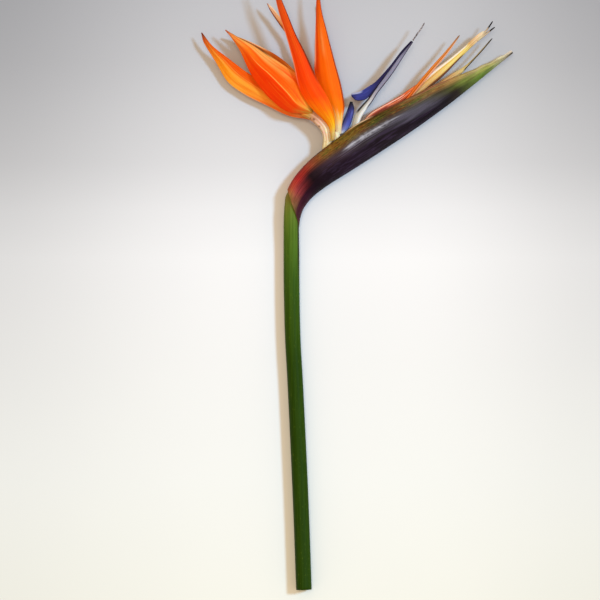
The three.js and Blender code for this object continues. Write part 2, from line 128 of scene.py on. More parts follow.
# Sepals as two edges, base to tip. keel lifts the midrib by a share of the width.
SEPALS = {
    "floret_1_sepal_lower": {
        "keel": 0.04,
        "left": [
            [3.4, 127, 8], [-8.3, 129.2, 7.2], [-23.8, 136.5, 6.4], [-39.3, 144.5, 5.8],
            [-51, 153.4, 5.8], [-58.7, 166.2, 6.2], [-67.1, 179.9, 7.2], [-69.3, 187.2, 8],
        ],
        "right": [
            [3.4, 131, 9], [-7, 137.2, 9], [-18.2, 145.6, 8.8], [-29.4, 154.3, 8.6],
            [-40.5, 161.8, 8.6], [-51, 169.9, 8.4], [-61.5, 178.3, 8.2], [-68.7, 187.5, 8.2],
        ],
    },
    "floret_1_sepal_front": {
        "keel": 0.2,
        "left": [
            [6.2, 130, 13.3], [-8.3, 131.6, 12], [-19.6, 139.6, 11.6], [-29.3, 150.6, 11.4],
            [-35.7, 160.6, 11.4], [-42, 174.3, 11.2], [-47.8, 183.1, 11], [-52.6, 188.8, 11],
        ],
        "right": [
            [8.8, 133.2, 13.4], [7.8, 141.6, 14.2], [3.2, 152.4, 14.6], [-4.9, 159.7, 14],
            [-18.4, 168.8, 13], [-31.6, 177.8, 12.4], [-43.4, 184, 11.8], [-52, 189.2, 11.2],
        ],
    },
    "floret_1_sepal_back": {
        "keel": 0.06,
        "left": [
            [3.4, 131.4, 7.8], [-5.6, 142.1, 6.4], [-16.8, 152.6, 5.8], [-28, 163.8, 5.8],
            [-38.5, 175, 6.2], [-45.5, 182, 6.8], [-49.8, 186.1, 7.4],
        ],
        "right": [
            [4.4, 134.4, 7.8], [1.4, 152.6, 6], [-5.4, 162.6, 5.2], [-17.6, 172.5, 4.8],
            [-33.6, 180.6, 5.2], [-43.4, 184.6, 6], [-49.4, 186.9, 7],
        ],
    },
    "floret_2_sepal_front": {
        "keel": 0.12,
        "left": [
            [21.6, 112.3, 14.5], [19.2, 122, 15.4], [6.5, 135.6, 16.8], [-0.8, 148.3, 18.4],
            [-4.9, 166.2, 20.4], [-10, 185, 22], [-15.4, 202.4, 23.2], [-19.8, 223.8, 23.6],
        ],
        "right": [
            [24.2, 113.6, 14.5], [24.6, 124.2, 16], [21.2, 137.5, 18], [12.2, 153.6, 19.4],
            [3.5, 172.5, 21.2], [-2.9, 185, 22.4], [-10, 202.4, 23.4], [-19, 224, 23.8],
        ],
    },
    "floret_2_sepal_right": {
        "keel": 0.12,
        "left": [
            [25.4, 116.8, 11.7], [21.7, 129.5, 12.3], [15.4, 143.5, 12.6], [10.5, 158.2, 12.8],
            [10.3, 170.8, 13], [10.6, 184.8, 13.5], [11.2, 204.4, 14], [12.3, 224, 14.5],
        ],
        "right": [
            [28.8, 117.6, 11.8], [30, 128, 12.6], [31.1, 135.8, 14], [28.8, 149.7, 14.6],
            [24.1, 167.3, 15], [19.5, 185, 15.2], [15, 203, 15.2], [13, 224, 14.8],
        ],
    },
    "floret_2_sepal_left": {
        "keel": 0.08,
        "left": [
            [22.4, 117, 9.8], [17.4, 130.2, 9.8], [6.3, 145.6, 9.4], [-2.2, 165.2, 8.8],
            [-7.6, 182.4, 8.4], [-14.7, 193.2, 8.6], [-20.4, 201.8, 8.8], [-23.2, 207.5, 9],
        ],
        "right": [
            [24.8, 117.2, 9.8], [22.4, 131.6, 10], [14, 151.2, 9.8], [3.5, 169.4, 9.2],
            [-4.8, 186.2, 8.6], [-13.3, 197.4, 8.8], [-18.6, 204.2, 9], [-22.7, 207.9, 9],
        ],
    },
}

# Thickness at the edges and on the midrib
SEPAL_THICKNESS = (0.3, 1.2)
VANE_THICKNESS = (0.35, 0.9)
HOOD_THICKNESS = (0.3, 0.9)

# Where a sepal's base starts, as a share of its length before its first points
SEPAL_START = -0.02
SEPAL_STARTS = {"floret_1_sepal_lower": -0.06}

# Blue petals of an open floret
ARROW_SHAFT = [
    [37.4, 112.6, 9.6, 2.3], [38.4, 119.5, 10.2, 2.5], [39.4, 125, 10.4, 2.6],
    [41.3, 129.9, 10.6, 2.6], [44.8, 134.7, 10.8, 2.3], [49, 139.8, 11, 1.9], [53, 145.8, 11.1, 1.75],
    [56.8, 150.6, 11.2, 1.7], [63.9, 159.8, 11.4, 1.6], [71, 170.4, 11.6, 1.35],
    [78.4, 180.6, 11.8, 0.8],
]
ARROW_SHAFT_DEPTH = 0.6
VANE_LEFT = [
    [35.8, 144.2], [42.1, 145.9], [48.1, 149.4], [53.4, 153.2],
    [63, 163.8], [70.7, 173.9], [77.6, 181.4],
]
VANE_RIGHT = [
    [36.3, 142.1], [39.9, 139.6], [46.8, 141], [54.8, 150],
    [62.4, 160.6], [70.4, 171], [79.2, 180.5],
]
VANE_HEIGHT = [11.2, 11.3, 11.4, 11.5, 11.6, 11.7, 11.8]
VANE_FLARE = [2.2, 2, 1.8, 1.5, 1.1, 0.7, 0.3]
VANE_INNER_SHARE = 0.25
STYLE_LINE = [
    [79, 181.5, 11.9, 0.5], [81.6, 185.4, 12.1, 0.55], [84.4, 189.2, 12.4, 0.5],
    [87.2, 193.9, 12.8, 0.45],
]
HOOD = {
    "keel": 0.3,
    "left": [
        [27.2, 116.4, 10.8], [28.9, 121.6, 11], [31.2, 128, 11.4],
        [33.5, 134.6, 11.8], [35, 138.8, 12],
    ],
    "right": [
        [31, 116.8, 10.8], [34.9, 121.8, 11.4], [36.8, 127.4, 12],
        [37.9, 133.4, 12.2], [36.8, 138.6, 12.1],
    ],
}

# The first floret's blue petals repeat the second's, turned about a point and tipped down
FIRST_ARROW_TURN = {"from": [39.9, 125.3, 10.4], "to": [23.1, 124.6, 5.9], "angle": 41.5, "tilt": 4}
FIRST_HOOD_TURN = {"from": [29.3, 116.5, 10.6], "to": [25.8, 118.9, 7.6], "angle": 27, "tilt": 0}

# Places beyond a bud's base and tip, for the painted bands that reach them
BASE, TIP = -1, 2

# Florets still in bud: x, y, height, radius
BUD_1 = [
    [42, 118, 7.4, 1.4], [46.5, 125.2, 8, 1.9], [51.2, 129.8, 8.4, 2.2], [57.9, 133.9, 8.7, 2],
    [64.3, 137.5, 8.8, 2], [70.8, 141.2, 8.9, 1.9], [76.6, 145.6, 9, 1.7], [83, 151, 9, 0.8],
]
BUD_2 = [
    [43.6, 112.4, 9.5, 1.2], [54.6, 122, 9.5, 1.3], [70.6, 135, 10.1, 1.3], [82.2, 149, 11, 1.6],
    [92.4, 161.4, 11.4, 1.5], [103, 173.8, 11, 1.1], [111.8, 185.4, 11, 0.5],
]
BUD_3 = [
    [35, 98.4, 9, 1.6], [50.8, 113.4, 8.6, 2.2], [70, 133.6, 7.8, 2.4], [80.4, 144.2, 7.8, 3],
    [86.2, 149.2, 7.8, 3.5], [91.3, 153.8, 7.9, 3.8], [99.2, 160.5, 8, 3.6], [107.2, 167.5, 8.3, 2.6],
    [115.8, 175.4, 8.9, 1.9], [120.6, 180, 9.1, 1.9], [125.8, 184.8, 9.4, 1.8],
    [129.4, 187.8, 9.6, 1.1],
]
BUD_3_DEPTH = 0.5
BUD_3_FORKS = [
    [[124, 181.6, 9.3, 0.9], [130, 188, 9.9, 0.7], [135, 195.2, 10.6, 0.4]],
    [[124, 181.6, 9.3, 0.9], [130.6, 186.6, 9.2, 0.7], [136.6, 191.2, 9, 0.4]],
]
BUD_4 = [
    [39.2, 97.4, 9, 1.2], [53.4, 109, 9, 1.5], [75.6, 125.6, 8.8, 1.8], [94.6, 146.2, 8.8, 2.4],
    [105.4, 155, 8.8, 2.4], [112.6, 160.2, 8.8, 1.7], [116.8, 163.9, 8.8, 1], [122, 169, 8.9, 0.65],
    [128.6, 176.2, 9.1, 0.6], [134.8, 183.4, 9.3, 0.45],
]


def drawing_origin():
    """Where the drawing's origin lies in the frame, in mm, from the middle of the stem's cut end."""
    points = np.array([vertex.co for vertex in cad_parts["stem"].data.vertices]) / MM
    cut = points[points[:, 1] < points[:, 1].min() + CUT_DEPTH]
    middle = (cut.min(0) + cut.max(0)) / 2
    return np.array([middle[0] - STEM_LINE[0][0], middle[1] - STEM_LINE[0][1], 0])


ORIGIN = drawing_origin()


def to_frame(points):
    """Points of the drawing, in mm, as points of the frame, in metres."""
    return (np.asarray(points, float) + ORIGIN) * MM


def smooth_step(value, start, end):
    """0 at start and 1 at end, eased between."""
    share = np.clip((np.asarray(value, float) - start) / (end - start), 0, 1)
    return share * share * (3 - 2 * share)


def unit(vectors):
    """Vectors of length 1."""
    return vectors / np.maximum(np.linalg.norm(vectors, axis=-1, keepdims=True), TINY)


def spline(rows):
    """A smooth line through rows of numbers, as a function of t from 0 to 1."""
    points = np.asarray(rows, float)
    points = points.reshape(len(points), -1)
    points = np.vstack([2 * points[0] - points[1], points, 2 * points[-1] - points[-2]])
    spans = len(points) - 3

    def at(t):
        place = np.asarray(t, float) * spans
        first = np.clip(np.floor(place), 0, spans - 1).astype(int)
        w = (place - first)[..., None]
        before, start, end, after = (points[first + k] for k in range(4))
        leave, arrive = (end - before) / 2, (after - start) / 2
        return (
            (2 * w**3 - 3 * w**2 + 1) * start
            + (w**3 - 2 * w**2 + w) * leave
            + (3 * w**2 - 2 * w**3) * end
            + (w**3 - w**2) * arrive
        )

    return at


def tangent(curve, t, step=1e-4):
    """Directions along a curve."""
    return unit(curve(np.asarray(t) + step) - curve(np.asarray(t) - step))


def section_axes(curve, t):
    """Axes of sections along a curve: across it in the plane of the floor, and up."""
    along = tangent(curve, t)
    side = unit(np.cross(UP, along))
    return side, unit(np.cross(along, side))


def above_floor(points):
    """Points with none below the floor."""
    points[..., 2] = np.maximum(points[..., 2], 0)
    return points


def fullness(u):
    """0 on both edges of a blade and 1 on its midrib."""
    return 1 - np.abs(2 * u - 1) ** 1.5


def loft(rings, across, along, slot=0):
    """A closed skin through rings (rows x columns x 3), zipped shut at both ends. across and along
    are the surface's own coordinates, with one column more than the rings, to close the round."""
    rows, columns = rings.shape[:2]
    across = np.broadcast_to(across, (rows, columns + 1))
    along = np.broadcast_to(along, (rows, columns + 1))
    row, column = np.meshgrid(np.arange(rows - 1), np.arange(columns), indexing="ij")
    row, column = row.ravel(), column.ravel()
    corners = [(row, column), (row, column + 1), (row + 1, column + 1), (row + 1, column)]
    last = columns - 1
    i = np.arange(columns // 2 - 1)
    for end, order in ((0, (1, 0, 2, 3)), (rows - 1, (0, 1, 3, 2))):
        cap = [i, i + 1, last - i, last - i - 1]
        cap = [cap[k] for k in order]
        for k, (rows_k, columns_k) in enumerate(corners):
            corners[k] = (
                np.concatenate([rows_k, np.full(len(i), end)]),
                np.concatenate([columns_k, cap[k]]),
            )
    faces = np.stack([r * columns + c % columns for r, c in corners], -1)
    chart = np.stack([np.stack([across[r, c], along[r, c]], -1) for r, c in corners], 1)
    points = rings.reshape(-1, 3)
    a, b, c = (points[faces[:, k]] for k in range(3))
    if np.einsum("ij,ij->i", a, np.cross(b, c)).sum() < 0:
        faces, chart = faces[:, ::-1], chart[:, ::-1]
    return {"points": points, "faces": faces, "chart": chart, "slot": slot}


def rod(line, sides, rows, depth=1.0, shape=None, slot=0):
    """A rod along a line of [x, y, z, radius], depth times as deep as wide. shape(angle, t)
    multiplies its radius, and across runs round it with the angle, over its top first."""
    t = np.linspace(0, 1, rows)
    angle = np.linspace(0, 2 * math.pi, sides + 1)
    curve = spline([point[:3] for point in line])
    radius = spline([point[3] for point in line])(t)
    side, rise = section_axes(curve, t)
    reach = radius * shape(angle[None, :-1], t[:, None])
    rings = (
        curve(t)[:, None]
        + side[:, None] * (reach * np.cos(angle[:-1]))[..., None]
        + rise[:, None] * (reach * depth * np.sin(angle[:-1]))[..., None]
    )
    return loft(above_floor(rings), angle[None, :] / (2 * math.pi), t[:, None], slot)


def rounded_end(t, share):
    """A factor that rounds a rod off over the last share of its length."""
    return np.sqrt(np.clip(1 - (np.clip(t - 1 + share, 0, None) / share) ** 2, 0.004, 1))


def blade(shape, edge, rib, rows, columns, start=0.0, profile=None, relief=None):
    """A leaf-like blade between two edges, edge mm thick there and rib mm on its midrib.
    profile(u, t) gives its lift over the straight line between the edges, as a share of the width,
    and relief(u, t) adds mm to both faces."""
    t = np.linspace(start, 1, rows)
    u = 0.5 - 0.5 * np.cos(np.linspace(0, math.pi, columns + 1))
    left, right = spline(shape["left"]), spline(shape["right"])
    across = right(t) - left(t)
    width = np.linalg.norm(across, axis=1)
    normal = unit(np.cross(across, tangent(left, t) + tangent(right, t)))
    grid_u, grid_t = u[None, :], t[:, None]
    lift = profile(grid_u, grid_t) if profile else shape["keel"] * fullness(grid_u)
    lift = lift * width[:, None] + (relief(grid_u, grid_t) if relief else 0)
    middle = left(t)[:, None] + across[:, None] * u[None, :, None]
    middle = middle + normal[:, None] * lift[..., None]
    thinning = 1 - 0.5 * smooth_step(grid_t, 0.85, 1)
    half = (edge + (rib - edge) * fullness(grid_u)) * thinning / 2
    face = middle + normal[:, None] * half[..., None]
    back = (middle - normal[:, None] * half[..., None])[:, ::-1]
    rings = above_floor(np.concatenate([face, back], axis=1))
    chart = np.concatenate([u, u[::-1], u[:1]])
    return loft(rings, chart[None, :], grid_t)


def turned(part, turn):
    """A loft moved from one point to another, turned left by an angle and tipped down along +Y."""
    angle, tilt = math.radians(turn["angle"]), math.radians(-turn["tilt"])
    spin = np.array([
        [math.cos(angle), -math.sin(angle), 0],
        [math.sin(angle), math.cos(angle), 0],
        [0, 0, 1],
    ])
    tip = np.array([
        [1, 0, 0],
        [0, math.cos(tilt), -math.sin(tilt)],
        [0, math.sin(tilt), math.cos(tilt)],
    ])
    points = (part["points"] - turn["from"]) @ (tip @ spin).T + turn["to"]
    return {**part, "points": points}


def placed(name, data):
    """An object in the scene."""
    made = bpy.data.objects.new(name, data)
    bpy.context.scene.collection.objects.link(made)
    return made


def piece(node, parts, materials):
    """One object out of lofts. It rides on the body and stands for its CAD node."""
    name = "fine_" + node
    counts = np.cumsum([0] + [len(part["points"]) for part in parts])
    points = to_frame(np.concatenate([part["points"] for part in parts]))
    faces = np.concatenate([part["faces"] + start for part, start in zip(parts, counts)])
    chart = np.concatenate([part["chart"] for part in parts])
    mesh = bpy.data.meshes.new(name)
    mesh.from_pydata(points.tolist(), [], faces.tolist())
    mesh.uv_layers.new(name=SURFACE_MAP).data.foreach_set("uv", chart.ravel())
    slots = np.concatenate([np.full(len(part["faces"]), part["slot"]) for part in parts])
    mesh.polygons.foreach_set("material_index", slots.astype(np.int32))
    mesh.shade_smooth()
    for material in materials:
        mesh.materials.append(material)
    made = placed(name, mesh)
    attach(made, "root")
    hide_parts(node)


class Paint:
    """A node material. across and along are the surface's own coordinates. Limits on them are
    (start, end) for a step, or (low, high, soft) for a band."""

    def __init__(self, name):
        self.material = bpy.data.materials.new(name)
        self.material.use_nodes = True
        self.nodes = self.material.node_tree.nodes
        self.links = self.material.node_tree.links
        self.shader = next(node for node in self.nodes if node.type == "BSDF_PRINCIPLED")
        self.chart = self.node("ShaderNodeUVMap", {}, uv_map=SURFACE_MAP).outputs[0]
        split = self.node("ShaderNodeSeparateXYZ", {0: self.chart})
        self.across, self.along = split.outputs[0], split.outputs[1]

    def node(self, kind, inputs, **settings):
        """A node with its settings, and its inputs given as numbers, colours or sockets."""
        made = self.nodes.new(kind)
        for key, value in settings.items():
            setattr(made, key, value)
        for key, value in inputs.items():
            self.feed(made.inputs[key], value)
        return made

    def feed(self, socket, value):
        """Links or sets one input."""
        if isinstance(value, bpy.types.NodeSocket):
            self.links.new(value, socket)
        elif socket.type == "RGBA":
            socket.default_value = (*value, 1)
        else:
            socket.default_value = value

    def calc(self, operation, a, b=0.0):
        """One sum on numbers."""
        return self.node("ShaderNodeMath", {0: a, 1: b}, operation=operation).outputs[0]

    def share(self, *parts):
        """The parts multiplied together."""
        product = parts[0]
        for part in parts[1:]:
            product = self.calc("MULTIPLY", product, part)
        return product

    def scaled(self, value, scale, start):
        """A value times a scale, added to a start."""
        return self.calc("ADD", start, self.calc("MULTIPLY", value, scale))

    def step(self, value, start, end):
        """0 at start and 1 at end, eased between. start may be the higher one."""
        inputs = {"Value": value, "From Min": start, "From Max": end}
        return self.node("ShaderNodeMapRange", inputs, interpolation_type="SMOOTHSTEP").outputs[0]

    def band(self, value, low, high, soft):
        """1 between low and high, fading to 0 over soft on both sides."""
        return self.share(
            self.step(value, low - soft, low + soft),
            self.step(value, high + soft, high - soft),
        )

    def area(self, across=None, along=None):
        """1 within limits across and along the surface, and 0 outside them."""
        limited = [(self.across, across), (self.along, along)]
        return self.share(*[
            self.step(place, *limits) if len(limits) == 2 else self.band(place, *limits)
            for place, limits in limited
            if limits
        ])

    def ramp(self, stops, value=None):
        """A colour, or a grey given as one number, through (place, colour) stops along the surface
        or along a value."""
        node = self.node("ShaderNodeValToRGB", {0: self.along if value is None else value})
        elements = node.color_ramp.elements
        while len(elements) < len(stops):
            elements.new(0.5)
        for element, (place, colour) in zip(elements, stops):
            element.position = place
            element.color = (*np.broadcast_to(colour, 3), 1)
        return node.outputs[0]

    def mix(self, a, b, share, blend="MIX"):
        """Colour a with a share of colour b."""
        inputs = {0: share, 6: a, 7: b}
        return self.node("ShaderNodeMix", inputs, data_type="RGBA", blend_type=blend).outputs[2]

    def shade(self, colour, tone, *shares):
        """A colour multiplied by a tone, as far as the shares say."""
        return self.mix(colour, tone, self.share(*shares), "MULTIPLY")

    def patch(self, colour, tone, *shares, **limits):
        """A tone laid over a colour within limits, as far as the shares say."""
        parts = [self.area(**limits)] if limits else []
        return self.mix(colour, tone, self.share(*parts, *shares))

    def patches(self, colour, rows):
        """Patches laid one after another. A row is (tone, share, limits across, limits along)."""
        for tone, share, across, along in rows:
            colour = self.patch(colour, tone, share, across=across, along=along)
        return colour

    def own_place(self):
        """The object's own coordinates, in metres."""
        return self.node("ShaderNodeTexCoord", {}).outputs["Object"]

    def noise(self, stretch, detail=3.0, source=None):
        """Soft noise from 0 to 1, with so many cycles along each coordinate of the surface or of
        another source."""
        inputs = {0: self.chart if source is None else source, 1: stretch}
        place = self.node("ShaderNodeVectorMath", inputs, operation="MULTIPLY").outputs[0]
        inputs = {"Vector": place, "Scale": 1.0, "Detail": detail}
        return self.node("ShaderNodeTexNoise", inputs).outputs[0]

    def grains(self, start, end, stretch, detail=2):
        """Noise on the surface, sharpened to grains between start and end."""
        return self.step(self.noise(stretch, detail), start, end)

    def lines(self, count, wobble=0.5):
        """Fine lines along the surface: 1 on a line and 0 between two."""
        drift = self.share(self.noise((3, 4, 1)), wobble)
        place = self.calc("ADD", self.share(self.across, count), drift)
        wave = self.calc("SINE", self.share(place, 2 * math.pi))
        return self.share(self.calc("ADD", wave, 1.0), 0.5)

    def relief(self, *heights):
        """Bumps from (height socket, mm) pairs."""
        total = 0.0
        for height, depth in heights:
            total = self.calc("ADD", total, self.calc("MULTIPLY", height, depth))
        inputs = {"Strength": 1.0, "Distance": MM, "Height": total}
        self.feed(self.shader.inputs["Normal"], self.node("ShaderNodeBump", inputs).outputs[0])

    def finish(self, colour, roughness, **values):
        """Sets the shader, whose fixed values are given by name with _ for each space."""
        self.feed(self.shader.inputs["Base Color"], colour)
        self.feed(self.shader.inputs["Roughness"], roughness)
        for key, value in values.items():
            self.shader.inputs[key.replace("_", " ")].default_value = value
        return self.material


PETAL_SHINE = {
    "Specular_IOR_Level": 0.05,
    "Subsurface_Weight": 0.12,
    "Subsurface_Radius": (1.0, 0.35, 0.1),
    "Subsurface_Scale": 1.2 * MM,
}


def finish_petal(paint, colour, deep, light, deep_share=0.7, light_share=0.5, over=()):
    """Adds deep and light streaks and fine veins along a petal, and patches over them."""
    streaks = paint.noise((7, 1.5, 1), 4)
    fine = paint.noise((19, 2.2, 1), 3)
    veins = paint.lines(26)
    colour = paint.patch(colour, deep, paint.step(streaks, 0.52, 0.4), deep_share)
    colour = paint.patch(colour, light, paint.step(fine, 0.54, 0.68), light_share)
    colour = paint.shade(colour, (0.86, 0.7, 0.6), veins, 0.16)
    colour = paint.patches(colour, over)
    paint.relief((veins, 0.06), (streaks, 0.25), (fine, 0.12))
    return paint.finish(colour, paint.scaled(fine, 0.14, 0.44), **PETAL_SHINE)


def paint_stem():
    """Green, darker towards the cut, which is painted shade, and olive at the elbow, ridged and finely
    flecked.
    """
    paint = Paint("stem_skin")
    # Painted shade: the skin darkens towards the cut.
    skin = paint.ramp([
        (0.0, (0.021, 0.05, 0.001)), (0.15, (0.022, 0.052, 0.001)), (0.2, (0.023, 0.055, 0.001)),
        (0.246, (0.032, 0.071, 0.002)), (0.298, (0.037, 0.082, 0.004)),
        (0.334, (0.043, 0.094, 0.006)), (0.388, (0.07, 0.137, 0.01)), (0.452, (0.092, 0.158, 0.015)),
        (0.538, (0.135, 0.19, 0.023)), (0.615, (0.18, 0.19, 0.032)), (0.69, (0.22, 0.17, 0.036)),
    ])
    place = paint.own_place()
    fibres = paint.noise((900, 25, 900), 3, place)
    flecks = paint.noise((1500, 500, 1500), 2, place)
    ridge = paint.noise((400, 8, 400), 2, place)
    skin = paint.shade(skin, (0.74, 0.8, 0.66), paint.step(fibres, 0.62, 0.4))
    skin = paint.patch(skin, (0.2, 0.26, 0.02), paint.step(flecks, 0.64, 0.74), 0.3)
    skin = paint.patches(skin, [((0.018, 0.014, 0.008), 0.85, (0.37, 0.42), (0.34, 0.6, 0.04))])
    paint.relief((ridge, 0.14), (fibres, 0.07), (flecks, 0.03))
    return paint.finish(skin, paint.scaled(fibres, 0.2, 0.4), Specular_IOR_Level=0.05)


def paint_cut_face():
    """The cut end: a green rim round a pale, wet pith with darker strands."""
    paint = Paint("stem_cut")
    inputs = {"Vector": paint.own_place(), "Scale": 1300.0}
    strands = paint.node("ShaderNodeTexVoronoi", inputs).outputs[0]
    pith = paint.mix((0.36, 0.42, 0.16), (0.62, 0.62, 0.36), paint.step(strands, 0.15, 0.4))
    colour = paint.patch(pith, (0.09, 0.17, 0.03), along=(0.86, 0.98))
    paint.relief((strands, 0.25))
    return paint.finish(colour, 0.35)


def spathe_ground(paint, ragged):
    """The bract's colours in three stripes along it, by a ragged place across: red and olive above,
    purple in the middle, and almost black on the keel. All end in the beak's green, the upper two with
    a cream painted highlight at its very tip."""
    upper = paint.ramp([
        (0.0, (0.14, 0.14, 0.02)), (0.13, (0.17, 0.15, 0.023)), (0.16, (0.26, 0.16, 0.04)),
        (0.18, (0.37, 0.23, 0.055)), (0.2, (0.43, 0.14, 0.05)), (0.22, (0.47, 0.075, 0.04)),
        (0.26, (0.5, 0.03, 0.026)), (0.3, (0.32, 0.03, 0.018)), (0.34, (0.33, 0.085, 0.036)),
        (0.38, (0.24, 0.11, 0.025)), (0.42, (0.23, 0.105, 0.011)), (0.46, (0.235, 0.145, 0.018)),
        (0.5, (0.15, 0.08, 0.013)), (0.54, (0.11, 0.06, 0.011)), (0.58, (0.14, 0.088, 0.026)),
        (0.62, (0.17, 0.11, 0.03)), (0.66, (0.36, 0.2, 0.065)), (0.7, (0.5, 0.29, 0.09)),
        (0.74, (0.48, 0.36, 0.11)), (0.78, (0.57, 0.46, 0.19)), (0.84, (0.56, 0.48, 0.22)),
        # Cream at the beak's tip: a painted highlight.
        (0.9, (0.7, 0.6, 0.33)), (0.95, (1.0, 0.92, 0.62)), (0.99, (1.0, 0.86, 0.72)),
    ])
    middle = paint.ramp([
        (0.0, (0.2, 0.1, 0.04)), (0.14, (0.33, 0.18, 0.06)), (0.18, (0.34, 0.11, 0.055)),
        (0.22, (0.37, 0.05, 0.055)), (0.26, (0.18, 0.017, 0.022)), (0.3, (0.016, 0.004, 0.009)),
        (0.34, (0.03, 0.014, 0.022)), (0.38, (0.045, 0.022, 0.034)), (0.42, (0.06, 0.036, 0.045)),
        (0.46, (0.075, 0.055, 0.065)), (0.5, (0.08, 0.07, 0.08)), (0.54, (0.06, 0.05, 0.06)),
        (0.58, (0.06, 0.055, 0.065)), (0.62, (0.07, 0.065, 0.065)), (0.66, (0.065, 0.056, 0.03)),
        (0.7, (0.09, 0.1, 0.02)), (0.74, (0.19, 0.225, 0.04)), (0.78, (0.3, 0.32, 0.08)),
        # Cream at the beak's tip: a painted highlight.
        (0.84, (0.42, 0.43, 0.095)), (0.9, (0.55, 0.49, 0.19)), (0.95, (0.7, 0.62, 0.35)),
        (0.99, (0.75, 0.62, 0.45)),
    ])
    keel = paint.ramp([
        (0.0, (0.07, 0.018, 0.02)), (0.16, (0.065, 0.011, 0.022)), (0.22, (0.034, 0.006, 0.016)),
        (0.26, (0.018, 0.004, 0.011)), (0.3, (0.008, 0.003, 0.008)), (0.38, (0.014, 0.006, 0.013)),
        (0.42, (0.017, 0.007, 0.017)), (0.46, (0.019, 0.01, 0.02)), (0.52, (0.015, 0.009, 0.014)),
        (0.6, (0.012, 0.007, 0.014)), (0.66, (0.012, 0.009, 0.014)), (0.7, (0.03, 0.023, 0.018)),
        (0.76, (0.11, 0.155, 0.028)), (0.8, (0.15, 0.25, 0.035)), (0.86, (0.26, 0.34, 0.1)),
        (0.92, (0.4, 0.4, 0.19)), (0.96, (0.46, 0.39, 0.25)), (0.99, (0.08, 0.06, 0.045)),
    ])
    colour = paint.mix(upper, middle, paint.step(ragged, 0.26, 0.45))
    return paint.mix(colour, keel, paint.step(ragged, 0.47, 0.66))


def spathe_mottle(paint, colour, ragged, patches):
    """Plum patches on the side, a dark start, russet, moss and specks on top, and a late blush."""
    plum = paint.step(patches, 0.47, 0.6)
    side = {"across": (0.42, 0.52), "along": (0.34, 0.64, 0.04)}
    colour = paint.patch(colour, (0.05, 0.03, 0.065), plum, 0.5, **side)
    dark = paint.step(ragged, 0.3, 0.42)
    colour = paint.patch(colour, (0.01, 0.003, 0.006), dark, 0.6, along=(0.285, 0.34, 0.03))
    top = paint.area(across=(0.42, 0.3), along=(0.36, 0.68, 0.04))
    specks = paint.noise((60, 90, 1), 2)
    for tone, grains, start, end in (
        ((0.21, 0.05, 0.006), patches, 0.5, 0.6),
        ((0.07, 0.11, 0.012), patches, 0.48, 0.38),
        ((0.035, 0.02, 0.01), specks, 0.46, 0.36),
        ((0.34, 0.22, 0.04), specks, 0.55, 0.66),
    ):
        colour = paint.patch(colour, tone, top, paint.step(grains, start, end), 0.6)
    blush = paint.step(ragged, 0.26, 0.14)
    return paint.patch(colour, (0.5, 0.22, 0.12), blush, 0.6, along=(0.6, 0.7, 0.04))


def spathe_lips(paint, colour, streaks):
    """The lips' margin, pale where the florets stand out, and the inner face."""
    lip = paint.ramp([
        (0.3, (0.14, 0.02, 0.01)), (0.36, (0.06, 0.022, 0.006)), (0.45, (0.06, 0.03, 0.005)),
        (0.468, (0.8, 0.5, 0.2)), (0.485, (1.0, 0.8, 0.5)), (0.505, (1.0, 0.68, 0.4)),
        (0.525, (0.24, 0.05, 0.02)), (0.58, (0.24, 0.06, 0.02)), (0.62, (0.3, 0.12, 0.04)),
        (0.68, (0.52, 0.27, 0.13)), (0.75, (0.55, 0.42, 0.24)), (0.86, (0.66, 0.57, 0.42)),
    ])
    width = paint.ramp([
        (0.32, 0.03), (0.36, 0.1), (0.45, 0.1), (0.48, 0.12), (0.53, 0.15), (0.64, 0.14), (0.7, 0.08),
    ])
    inwards = paint.calc("SUBTRACT", paint.scaled(streaks, 0.03, paint.across), width)
    colour = paint.patch(colour, lip, paint.step(inwards, 0.02, -0.01), along=(0.27, 0.31))
    inner = paint.mix((0.4, 0.3, 0.12), (0.55, 0.26, 0.13), paint.step(paint.along, 0.3, 0.7))
    return paint.mix(inner, colour, paint.step(paint.across, -INNER_FACE_OFFSET, 0.0))


def spathe_wax_and_painted_gloss(paint, colour, patches, fine):
    """A painted gloss highlight along the bract's side, partly its waxy bloom: a bright painted
    highlight line, frost round it, threads, a late haze.
    """
    middle = paint.ramp([(0.4, 0.43), (0.56, 0.432), (0.64, 0.5)])
    aside = paint.calc("SUBTRACT", paint.across, middle)
    threads = paint.share(paint.lines(52, 3.5), paint.step(patches, 0.36, 0.56))
    dust = paint.grains(0.4, 0.6, (90, 60, 1))
    spots = paint.grains(0.4, 0.62, (3, 26, 1))
    frost = paint.grains(0.42, 0.6, (18, 80, 1))
    painted_glint = paint.share(paint.scaled(spots, 0.6, 0.5), paint.scaled(dust, 0.4, 0.75))
    veil = paint.share(threads, paint.step(fine, 0.42, 0.58), 0.5)
    # All four bands are painted highlight along the gloss line, broken by the wax's frost, dust and
    # threads.
    for tone, share, beside, along in (
        ((0.85, 0.82, 0.9), painted_glint, (-0.006, 0.006, 0.018), (0.44, 0.57, 0.02)),
        ((0.55, 0.52, 0.58), paint.scaled(frost, 0.42, 0.1), (-0.035, 0.04, 0.02), (0.445, 0.54, 0.02)),
        ((0.3, 0.28, 0.34), veil, (0.0, 0.08, 0.03), (0.43, 0.56, 0.05)),
        ((0.12, 0.105, 0.14), paint.scaled(threads, 0.6, 0.3), (-0.02, 0.2, 0.04), (0.56, 0.65, 0.04)),
    ):
        colour = paint.patch(colour, tone, paint.band(aside, *beside), share, along=along)
    return colour


